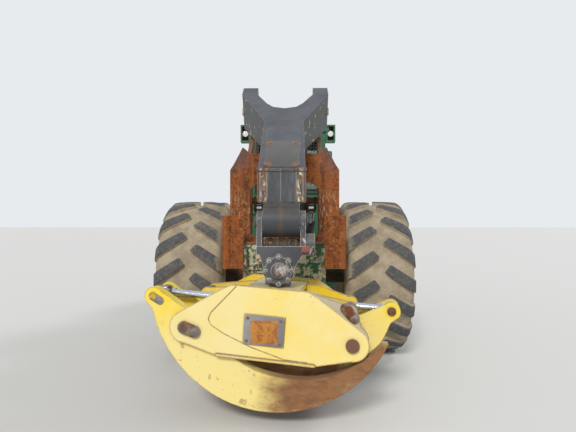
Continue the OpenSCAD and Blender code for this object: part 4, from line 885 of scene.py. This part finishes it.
def add_pin_end(shape, place, radius, proud):
    before = set(shape.verts)
    made = add_disc(shape, radius, proud, 40)
    dish(shape, made, ((radius * 0.12, 0.0), (radius * 0.45, -proud * 0.18)))
    move(shape, grapple_place @ at(*place) @ backward @ at(0, 0, proud / 2), added_since(shape, before))


keepers = bmesh.new()
add_keeper(keepers, (-pivot_x, outer_face - 0.014, 0.0), 14, 0.190, 0.098, 0.012)
add_keeper(keepers, (0.590, -0.246, 0.245), 45, 0.185, 0.086, 0.010)
as_piece("grapple_pin_keepers", keepers, keeper_steel, "grapple_frame", smooth=35)
ends = bmesh.new()
add_pin_end(ends, (pivot_x, outer_face - 0.013, 0.0), 0.052, 0.012)
add_pin_end(ends, (-pivot_x, outer_face - 0.024, 0.0), 0.033, 0.008)
as_piece("grapple_pin_ends", ends, pin_steel, "grapple_frame", smooth=35)

doubler = ((-0.262, 0.362), (-0.455, 0.135), (-0.470, 0.085), (-0.448, 0.040), (-0.330, -0.020),
           (-0.110, -0.100), (0.150, -0.165), (0.330, -0.168))
frame_beads = bmesh.new()
add_bead(frame_beads, grapple_place, [(across, outer_face, rise) for across, rise in doubler], radius=0.0045)
for rise in (-0.174, -0.197):
    run = [(across, outer_face - 0.002, rise) for across in (-0.385, 0.385)]
    add_bead(frame_beads, grapple_place, run, radius=0.004)
face_out(frame_beads)
as_piece("grapple_weld_beads", frame_beads, cream_steel, "grapple_frame", smooth=60)


# Tongs: crescents of wear-resistant plate, boxed and sprayed yellow. Logs and gravel have
# scoured their inner faces and tips to brown steel.
yellow, yellow_faded = (0.860, 0.640, 0.040), (0.850, 0.690, 0.200)
scoured, scoured_dark, scoured_pale = (0.270, 0.130, 0.055), (0.150, 0.070, 0.035), (0.42, 0.27, 0.14)
horn_x, horn_z = 0.960, 0.210


def tong_paint(name, bare_from, bare_to, low, high):
    def marks(paint):
        parts = paint.axes(paint.place)
        lengthwise = paint.stretched(0.45, 1.0, 1.0)
        shift = paint.minus(paint.cloud(lengthwise, 4.5, 9.0, 0.7), 0.5)
        outward = paint.step(paint.plus(parts["X"], paint.times(shift, 0.9)), bare_from, bare_to)
        sunk = paint.plus(parts["Z"], paint.times(shift, 0.35))
        steel = paint.mix(paint.times(paint.spots(16.0, 0.45, 0.08, lengthwise), 0.6), scoured, scoured_dark)
        steel = paint.mix(paint.times(paint.spots(8.0, 0.30, 0.10, lengthwise), 0.7), steel, scoured_pale)
        cream_zone = paint.step(sunk, high + 0.10, low)
        paint.lay(cream_faded, cream_zone, 0.75)
        paint.lay(scoured_pale, paint.spots(13.0, 0.30, 0.03), cream_zone, 0.75)
        paint.lay(steel, outward, paint.step(sunk, high, low))
    return worn_paint(name, yellow, yellow_faded, chip_and_gap_shadow_brown, grime=cream_dirt, wear=0.44, rust_cover=0.06,
                      dust=0.4, streak=0.10, gloss=0.36, marks=marks)


dress(tong_paint("left tong paint", -0.30, 0.12, 0.62, 0.78), "tong_left")
dress(tong_paint("right tong paint", 0.66, 0.48, 0.64, 0.76), "tong_right")
left_keeper = bmesh.new()
add_keeper(left_keeper, (-horn_x, -0.350, horn_z), 26, 0.135, 0.066, 0.006, head=0.002)
as_piece("tong_left_keeper", left_keeper, keeper_steel, "tong_left", smooth=35)
right_pin = bmesh.new()
add_pin_end(right_pin, (horn_x, 0.005, horn_z), 0.036, 0.010)
as_piece("tong_right_pin_end", right_pin, pin_steel, "tong_right", smooth=35)


# Cab glazing: clear polycarbonate panes, scratched by brush, each held in its opening by a
# black rubber seal. The rear pane has a guard of welded steel mesh outside it.
glass_tint, glass_haze = (0.45, 0.53, 0.50), (0.46, 0.50, 0.46)
seal_black, seal_worn = (0.022, 0.022, 0.023), (0.060, 0.060, 0.058)
mesh_black, mesh_faded = (0.020, 0.026, 0.022), (0.040, 0.048, 0.042)
pane_thick = 0.006
seal_wide, seal_deep = 0.022, 0.020
wall_middle = 0.6125
back_wall, front_wall = 0.5585, 1.7985
wall_thick = 0.045

pane = Finish("scratched glazing", glass_tint, {"Transmission Weight": 1.0, "IOR": 1.25})
haze = pane.spots(5.0, 0.40, 0.20)
pane.lay(glass_haze, haze)
pane.roughen(haze, 0.04, 0.22)
glazing = pane.done()


def plain_rubber(name, colour, worn):
    skin = Finish(name, colour, {"Roughness": 0.75})
    skin.lay(worn, skin.spots(18.0, 0.40, 0.12))
    skin.lay(trail_dust, skin.dust(0.5))
    return skin.done(skin.noise(120.0, 4.0), 0.0006, corner=0.002)


seal_rubber = plain_rubber("window seal rubber", seal_black, seal_worn)


def flat_ring(shape, width, height, corner, segments, wide, thick):
    made = bmesh.ops.create_grid(shape, x_segments=1, y_segments=1, size=0.5)["verts"]
    bmesh.ops.scale(shape, vec=(width, height, 1), verts=made)
    soften(shape, list(shape.verts), corner, segments, "VERTICES")
    bmesh.ops.inset_region(shape, faces=list(shape.faces), thickness=wide, depth=0.0, use_boundary=True,
                           use_even_offset=True)
    bmesh.ops.delete(shape, geom=[face for face in shape.faces if len(face.verts) > 4], context="FACES")
    bmesh.ops.solidify(shape, geom=list(shape.faces), thickness=thick)


def add_window(name, middle, width, height, heading, body):
    place = at(*middle) @ turned(heading, "Z")
    pane = bmesh.new()
    rounded_plate(pane, place, width, height, pane_thick, 0.05, rounding=0.001)
    as_piece(f"{name}_glass", pane, glazing, body, smooth=30)
    seal = bmesh.new()
    flat_ring(seal, width + 0.004, height + 0.004, 0.055, 5, seal_wide, seal_deep)
    move(seal, at(0, 0, seal_deep / 2))
    face_out(seal)
    move(seal, place @ backward)
    as_piece(f"{name}_seal", seal, seal_rubber, body, smooth=30)


add_window("rear_window", (0, back_wall + wall_thick / 2, 2.500), 1.046, 0.876, 0, "front_body")
add_window("windscreen", (0, front_wall - wall_thick / 2, 2.580), 1.046, 0.756, 0, "front_body")
for name, side in both_sides.items():
    add_window(f"side_window_{name}", (side * wall_middle, 1.4985, 2.495), 0.416, 0.886, 90, "front_body")
    add_window(f"door_window_{name}", (side * wall_middle, 0.9135, 2.395), 0.406, 0.786, 90, f"door_{name}")

mesh_paint = worn_paint("guard mesh paint", mesh_black, mesh_faded, wear=0.5, edge=0.003)
guard_half, guard_low, guard_high = 0.545, 2.040, 2.960
guard_wire = 0.0035
guard_face = back_wall - 0.016


def add_rod(shape, start, end, radius, sides=8):
    start, end = Vector(start), Vector(end)
    made = add_disc(shape, radius, (end - start).length, sides)
    move(shape, Matrix.Translation((start + end) / 2) @ facing(end - start), made)


def add_wires(shape, half, low, high, columns, rows, face, over, wire, inset=0, reach=0.0, sides=8):
    for part in range(inset, columns + 1 - inset):
        across = half * (2 * part / columns - 1)
        add_rod(shape, (across, face, low - reach), (across, face, high + reach), wire, sides)
    for part in range(inset, rows + 1 - inset):
        rise = low + (high - low) * part / rows
        add_rod(shape, (-half, over, rise), (half, over, rise), wire, sides)


guard = bmesh.new()
add_wires(guard, guard_half, guard_low, guard_high, 21, 18, guard_face, guard_face + guard_wire * 1.6,
          guard_wire, inset=1)
for rise in (guard_low, guard_high):
    block_between(guard, (-guard_half - 0.015, guard_face - 0.010, rise - 0.015),
                  (guard_half + 0.015, guard_face + 0.014, rise + 0.015))
for across in (-guard_half, guard_half):
    block_between(guard, (across - 0.015, guard_face - 0.010, guard_low),
                  (across + 0.015, guard_face + 0.014, guard_high))
as_piece("rear_window_guard", guard, mesh_paint, "front_body", smooth=40)


# Driver's seat: foam cushions in grey vinyl, sewn in three channels with a welt round the
# edge, on a suspension base behind a rubber bellows.
vinyl, vinyl_worn = (0.060, 0.062, 0.068), (0.135, 0.132, 0.130)
channel_half = 0.105
channel_depth = 0.012
seam_width = 0.011
foam_swell = 0.018
voxel = 0.011
cloth_frames = 20
welt_inset, welt_rise, welt_wide = 0.034, 0.018, 0.0096
cushions = (("seat_cushion", (0.540, 0.540, 0.120), at(0, 1.1885, 1.680)),
            ("seat_back", (0.520, 0.740, 0.110),
             at(0, 0.9185, 1.740) @ turned(8, "X") @ at(0, 0.045, 0.380) @ turned(-90, "X") @ turned(180, "Z")))
fold_count = 6
base_low, base_high = 1.295, 1.620

skin = Finish("grey seat vinyl", vinyl, {"Roughness": 0.55, "Sheen Weight": 0.15})
skin.lay(vinyl_worn, skin.spots(6.0, 0.42, 0.14))
skin.lay(trail_dust, skin.spots(40.0, 0.30, 0.10), 0.4)
leather_grain = skin.add("TexVoronoi", {"Vector": skin.place, "Scale": 340.0}).outputs["Distance"]
seat_cover = skin.done(leather_grain, 0.0005, corner=0.002)


def puffed_by_cloth(pad):
    cloth = pad.modifiers.new("foam and cover", "CLOTH")
    cloth.settings.use_pressure = True
    cloth.settings.uniform_pressure_force = 4.0
    cloth.settings.effector_weights.gravity = 0.0
    cloth.settings.quality = 4
    for number in range(1, cloth_frames + 1):
        bpy.context.scene.frame_set(number)
    puffed = [vertex.co.copy() for vertex in evaluated_mesh(pad).vertices]
    bpy.context.scene.frame_set(1)
    pad.modifiers.clear()
    return puffed


def cushion_shape(size):
    width, length, depth = size
    block = bmesh.new()
    add_box(block, (width - 2 * foam_swell, length - 2 * foam_swell, depth - 1.2 * foam_swell))
    soften(block, list(block.edges), depth * 0.24, segments=4)
    pad = linked("cushion block", mesh_of("cushion block", block))
    cells = pad.modifiers.new("cells", "REMESH")
    cells.mode = "VOXEL"
    cells.voxel_size = voxel
    start = evaluated_mesh(pad)
    pad.modifiers.clear()
    pad.data = start
    rest = [vertex.co.copy() for vertex in start.vertices]
    puffed = puffed_by_cloth(pad)
    pillow = bmesh.new()
    pillow.from_mesh(start)
    bpy.data.objects.remove(pad)
    for vertex, old, new in zip(pillow.verts, rest, puffed):
        vertex.co = old + (new - old) * min(1.0, foam_swell / max((new - old).length, 1e-6))
        x, y, z = vertex.co
        if z > 0:
            seam = sum(math.exp(-((x - line) / seam_width) ** 2) for line in (-channel_half, channel_half))
            seam += 0.8 * math.exp(-((y - length * 0.18) / seam_width) ** 2)
            dome = (1 - (2 * x / width) ** 2) * (1 - (2 * y / length) ** 2)
            vertex.co.z -= channel_depth * min(1.0, seam) * min(1.0, max(0.0, dome * 4))
    bmesh.ops.smooth_vert(pillow, verts=pillow.verts, factor=0.4, use_axis_x=True, use_axis_y=True,
                          use_axis_z=True)
    return pillow


for name, size, place in cushions:
    pillow = cushion_shape(size)
    move(pillow, place)
    pad = as_piece(name, pillow, seat_cover, "front_body", smooth=60)
    finer = pad.modifiers.new("finer", "SUBSURF")
    finer.levels = finer.render_levels = 1
    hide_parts("seat")
    welt = bmesh.new()
    flat_ring(welt, size[0] - 2 * welt_inset, size[1] - 2 * welt_inset, 0.040, 6, welt_wide, welt_wide)
    welt.normal_update()
    soften(welt, [edge for edge in welt.edges if edge.calc_face_angle(0) > 1.0], 0.003)
    face_out(welt)
    move(welt, place @ at(0, 0, welt_rise))
    as_piece(f"{name}_welt", welt, seat_cover, "front_body", smooth=60)

bellows = bmesh.new()
fold_step = (base_high - base_low) / fold_count
for fold in range(fold_count):
    block_between(bellows, (-0.235, 0.943, base_low + fold * fold_step),
                  (0.235, 1.414, base_low + (fold + 0.78) * fold_step), rounding=0.018)
block_between(bellows, (-0.205, 0.973, base_low), (0.205, 1.384, base_high), rounding=0.01)
base = as_piece("seat_base", bellows, seal_rubber, "front_body", smooth=50)
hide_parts("seat")


# Controls in the cab: a steel console with gauges, a steering wheel on a tilted column, two
# arm rests with joysticks and a ribbed rubber floor mat.
console_grey, console_faded = (0.085, 0.088, 0.092), (0.12, 0.12, 0.125)
arm_x = 0.400
wheel_place = at(0, 1.440, 2.080) @ turned(-32, "X")
wheel_reach, wheel_grip = 0.185, 0.014
mat_low = 1.295


def block_about(shape, x, y, z, rounding=0.004):
    block_between(shape, *([middle + half * sign for middle, half in (x, y, z)] for sign in (-1, 1)), rounding)


console = bmesh.new()
block_between(console, (-0.330, 1.560, 1.300), (0.330, 1.735, 1.985), rounding=0.02)
block_between(console, (-0.270, 1.500, 1.960), (0.270, 1.735, 2.080), rounding=0.03)
for side in (-arm_x, arm_x):
    block_about(console, (side, 0.055), (1.185, 0.195), (1.550, 0.250), rounding=0.015)
    block_about(console, (side, 0.060), (1.140, 0.180), (1.825, 0.025), rounding=0.02)
console_paint = worn_paint("console paint", console_grey, console_faded, wear=0.4, rust_cover=0.05, gloss=0.6)
as_piece("cab_console", console, console_paint, "front_body", smooth=40)

grips = bmesh.new()
for side in (-arm_x, arm_x):
    stick = Vector((side, 1.345, 1.800))
    add_rod(grips, stick, stick + Vector((0, 0.01, 0.13)), 0.008)
    made = bmesh.ops.create_uvsphere(grips, u_segments=20, v_segments=12, radius=0.026)["verts"]
    move(grips, at(*stick) @ at(0, 0.012, 0.160) @ Matrix.Diagonal((0.8, 0.9, 1.9, 1)), made)
before = set(grips.verts)
ring = bmesh.ops.create_circle(grips, segments=12, radius=wheel_grip)["verts"]
move(grips, at(wheel_reach, 0, 0) @ turned(90, "X"), ring)
bmesh.ops.spin(grips, geom=ring + edges_of(ring), cent=(0, 0, 0), axis=(0, 0, 1), angle=math.tau, steps=40,
               use_merge=True, use_duplicate=False)
move(grips, wheel_place, added_since(grips, before))
for angle in (90, 210, 330):
    spoke = turned(angle, "Z") @ Vector((wheel_reach - 0.002, 0, 0))
    add_rod(grips, wheel_place @ Vector((0, 0, -0.012)), wheel_place @ spoke, 0.009)
add_rod(grips, wheel_place @ Vector((0, 0, 0.012)), wheel_place @ Vector((0, 0, -0.30)), 0.026, sides=16)
face_out(grips)
as_piece("cab_controls", grips, seal_rubber, "front_body", smooth=50)

mat = bmesh.new()
for part in range(22):
    left = -0.560 + part * 0.0515
    block_between(mat, (left, 0.640, mat_low + 0.001), (left + 0.035, 1.720, mat_low + 0.009), rounding=0.002)
block_between(mat, (-0.575, 0.625, mat_low), (0.575, 1.735, mat_low + 0.005), rounding=0.001)
as_piece("cab_floor_mat", mat, seal_rubber, "front_body", smooth=30)


# Lamps: round work lamps in a painted shell with a chromed bowl behind a ribbed glass lens,
# two in the guards at the back of the roof and four under its front edge.
lens_clear, lens_shade = (0.90, 0.91, 0.90), (0.60, 0.63, 0.64)
shell_grey, shell_worn = (0.030, 0.030, 0.032), (0.070, 0.070, 0.068)

lens = Finish("ribbed lamp lens", lens_clear, {"Roughness": 0.10, "Coat Weight": 0.8})
ribs = lens.waves(26.0, 0.4)
lens.lay(lens_shade, ribs)
lens_glass = lens.done(ribs, 0.002, corner=0.001)
shells, lenses = bmesh.new(), bmesh.new()


def add_lamp(place, radius):
    before = set(shells.verts)
    made = add_disc(shells, radius * 0.72, 0.050, 36, radius)
    dish(shells, made, ((radius * 0.10, 0.0), (0.002, -0.008)))
    move(shells, place, added_since(shells, before))
    made = bmesh.ops.create_uvsphere(lenses, u_segments=32, v_segments=16, radius=radius * 0.87)["verts"]
    move(lenses, place @ at(0, 0, 0.020) @ Matrix.Diagonal((1, 1, 0.16, 1)), made)


for across in (-0.720, 0.720):
    add_lamp(at(across, 0.560, 3.040) @ backward, 0.056)
for across in (-0.520, -0.260, 0.260, 0.520):
    add_lamp(at(across, 1.826, 3.030) @ turned(-90, "X"), 0.045)
    add_rod(shells, (across, 1.815, 3.060), (across, 1.815, 3.084), 0.010)
shell_paint = plain_rubber("lamp shell", shell_grey, shell_worn)
as_piece("lamp_shells", shells, shell_paint, "front_body")
as_piece("lamp_lenses", lenses, lens_glass, "front_body")


# Front end: radiator core behind a wire screen in the grille, louvre blades in the hood's
# side slots, clamps on the exhaust, and a bolted cutting edge along the blade.
grille_black, grille_faded = (0.030, 0.034, 0.033), (0.060, 0.064, 0.062)
core_dark, core_fin = (0.030, 0.030, 0.032), (0.13, 0.13, 0.13)
louvre_first, louvre_pitch = 2.2335, 0.130
stack_x, stack_y = 0.200, 2.2585
blade_centre = Vector((0, 4.6385, 0.644))
blade_face_r = 0.866
edge_half, edge_low, edge_high, edge_thick = 1.176, 0.324, 0.440, 0.012
edge_bolts, edge_bolt_half = 12, 1.080
dress(worn_paint("grille paint", grille_black, grille_faded, wear=0.5, rust_cover=0.22, dust=0.7),
      "radiator_grille")

finned = Finish("radiator core", core_dark, {"Roughness": 0.6, "Metallic": 0.3})
fins = finned.waves(60.0, direction="Z")
finned.lay(core_fin, fins)
finned.lay(trail_dust, finned.spots(5.0, 0.45, 0.12), 0.6)
core = bmesh.new()
block_between(core, (-0.455, 3.380, 1.220), (0.455, 3.440, 2.020), rounding=0.006)
as_piece("radiator_core", core, finned.done(fins, 0.004, corner=0.002), "front_body", smooth=30)
screen = bmesh.new()
add_wires(screen, 0.452, 1.250, 1.990, 60, 48, 3.4505, 3.4530, wire=0.0013, reach=0.002, sides=4)
as_piece("radiator_screen", screen, mesh_paint, "front_body", smooth=0)

louvres, hood_bolts = bmesh.new(), bmesh.new()
for side in (-1, 1):
    for part in range(7):
        seat = at(side * 0.500, louvre_first + part * louvre_pitch, 1.675) @ turned(24 * side, "Z")
        move(louvres, seat, add_box(louvres, (0.004, 0.062, 0.346)))
    bolts = [(0.520, along, rise, 0.010) for along in (1.900, 2.500, 3.000, 3.390) for rise in (1.230, 1.930)]
    bolts += [(0.635, along, rise, 0.009) for along in (0.620, 1.700) for rise in (1.330, 1.640)]
    for across, along, rise, radius in bolts:
        add_bolt(hood_bolts, at(side * across, along, rise) @ turned(90 * side, "Y"), radius, radius - 0.001)
soften(louvres, list(louvres.edges), 0.0015)
as_piece("hood_louvres", louvres, green_steel, "front_body", smooth=30)
as_piece("hood_bolts", hood_bolts, bolt_steel, "front_body", smooth=30)

clamps = bmesh.new()
for rise, radius in ((2.190, 0.066), (2.255, 0.066), (2.575, 0.064)):
    move(clamps, at(stack_x, stack_y, rise), add_disc(clamps, radius, 0.022, 48))
as_piece("exhaust_clamps", clamps, bolt_steel, "front_body", smooth=30)


def on_blade(across, radius, angle):
    return blade_centre + Vector((across, -radius * math.cos(angle), -radius * math.sin(angle)))


blade_edge = bmesh.new()
start, stop = (math.asin((blade_centre.z - rise) / blade_face_r) for rise in (edge_low, edge_high))
ends = [blade_edge.verts.new(on_blade(across, blade_face_r, start)) for across in (-edge_half, edge_half)]
line = blade_edge.edges.new(ends)
bmesh.ops.spin(blade_edge, geom=ends + [line], cent=blade_centre, axis=(1, 0, 0), angle=stop - start, steps=8,
               use_merge=False, use_duplicate=False)
face_out(blade_edge)
if sum(face.normal.y for face in blade_edge.faces) < 0:
    bmesh.ops.reverse_faces(blade_edge, faces=list(blade_edge.faces))
bmesh.ops.solidify(blade_edge, geom=list(blade_edge.faces), thickness=-edge_thick)
face_out(blade_edge)
middle_angle = (start + stop) / 2
facing_out = Matrix.Rotation(-math.radians(90) - middle_angle, 4, "X")
for part in range(edge_bolts):
    across = edge_bolt_half * (2 * part / (edge_bolts - 1) - 1)
    seat = at(*on_blade(across, blade_face_r - edge_thick, middle_angle))
    add_bolt(blade_edge, seat @ facing_out, 0.014, 0.010)
as_piece("blade_cutting_edge", blade_edge, bolt_steel, "blade", smooth=30)


# Cab fittings: hinges and grab bars on the doors, wiper arms on both main panes, and mirrors
# on bent tube arms, all bolted on and painted black or left plated.
fitting_dark, fitting_faded = (0.020, 0.021, 0.022), (0.045, 0.045, 0.046)
mirror_clear, mirror_spot = (0.82, 0.84, 0.85), (0.55, 0.54, 0.50)
fitting_black = worn_paint("black fitting paint", fitting_dark, fitting_faded, wear=0.45, rust_cover=0.16,
                           edge=0.003)


def add_tube(shape, corners, radius):
    for start, end in zip(corners, corners[1:]):
        add_rod(shape, start, end, radius, sides=12)


fittings, mirror_faces = bmesh.new(), bmesh.new()
for side in (-1, 1):
    add_tube(fittings, [(side * 0.640, 1.740, 2.600), (side * 0.800, 1.800, 2.590),
                        (side * 0.800, 1.800, 2.250), (side * 0.640, 1.740, 2.250)], 0.011)
    head = at(side * 0.805, 1.775, 2.420) @ turned(14 * side, "Z")
    rounded_plate(fittings, head, 0.150, 0.250, 0.034, 0.030, rounding=0.006)
    rounded_plate(mirror_faces, head @ at(0, -0.0185, 0), 0.126, 0.226, 0.003, 0.022, rounding=0.001)
    for rise in (2.600, 2.250):
        block_about(fittings, (side * 0.648, 0.014), (1.740, 0.025), (rise, 0.035))
for height, face, heading in ((2.075, back_wall - 0.006, -1), (2.215, front_wall + 0.006, 1)):
    pivot = Vector((0.02, face + heading * 0.006, height))
    tip = pivot + Vector((0.26, heading * 0.010, 0.42))
    reach = Vector((0.10, heading * 0.002, 0.17))
    add_rod(fittings, pivot, tip, 0.006)
    inward = Vector((0, heading, 0))
    add_rod(fittings, pivot - inward * 0.010, pivot + inward * 0.018, 0.018, 16)
    add_rod(fittings, tip - Vector((0.10, -heading * 0.002, 0.17)), tip + reach, 0.005)
as_piece("cab_fittings", fittings, fitting_black, "front_body")

mirror = Finish("mirror glass", mirror_clear, {"Metallic": 1.0})
spotted = mirror.spots(30.0, 0.25, 0.08)
mirror.lay(mirror_spot, spotted)
mirror.roughen(spotted, 0.04, 0.35)
as_piece("cab_mirrors", mirror_faces, mirror.done(), "front_body", smooth=30)

for name, side in both_sides.items():
    hinges = bmesh.new()
    for rise in (1.560, 2.640):
        add_rod(hinges, (side * 0.648, 1.196, rise - 0.060), (side * 0.648, 1.196, rise + 0.060), 0.015, 16)
        block_about(hinges, (side * 0.640, 0.006), (1.145, 0.045), (rise, 0.045))
        for along in (1.115, 1.155):
            add_bolt(hinges, at(side * 0.646, along, rise) @ turned(90 * side, "Y"), 0.007, 0.007)
    add_tube(hinges, [(side * 0.636, 0.700, 1.480), (side * 0.680, 0.700, 1.500),
                      (side * 0.680, 0.700, 1.740), (side * 0.636, 0.700, 1.760)], 0.010)
    as_piece(f"door_fittings_{name}", hinges, fitting_black, f"door_{name}")


# Steps, tanks and hood: serrated grip bars welded on the treads, screwed filler caps on the
# tanks, and rubber draw latches on the hood.
step_rises = (0.420, 0.700, 0.980)
bar_first, bar_pitch, bar_count = 0.682, 0.034, 5
grips_and_caps, latches = bmesh.new(), bmesh.new()
for side in (-1, 1):
    for rise in step_rises:
        for part in range(bar_count):
            across = side * (bar_first + part * bar_pitch)
            block_about(grips_and_caps, (across, 0.004), (0.939, 0.127), (rise + 0.0095, 0.0075), 0.002)
    for radius, low, high in ((0.048, 0.0, 0.012), (0.040, 0.012, 0.040), (0.012, 0.040, 0.052)):
        made = add_disc(grips_and_caps, radius, high - low, 28, radius * 0.96)
        move(grips_and_caps, at(side * 0.540, 0.790, 1.150 + (low + high) / 2), made)
    for along in (1.980, 3.300):
        block_about(latches, (side * 0.526, 0.010), (along, 0.018), (1.395, 0.065), 0.006)
        block_about(latches, (side * 0.530, 0.012), (along, 0.026), (1.460, 0.015), 0.008)
        block_about(latches, (side * 0.526, 0.008), (along, 0.022), (1.315, 0.015), 0.004)
as_piece("step_grips_and_caps", grips_and_caps, bolt_steel, "front_body", smooth=30)
as_piece("hood_latches", latches, seal_rubber, "front_body")
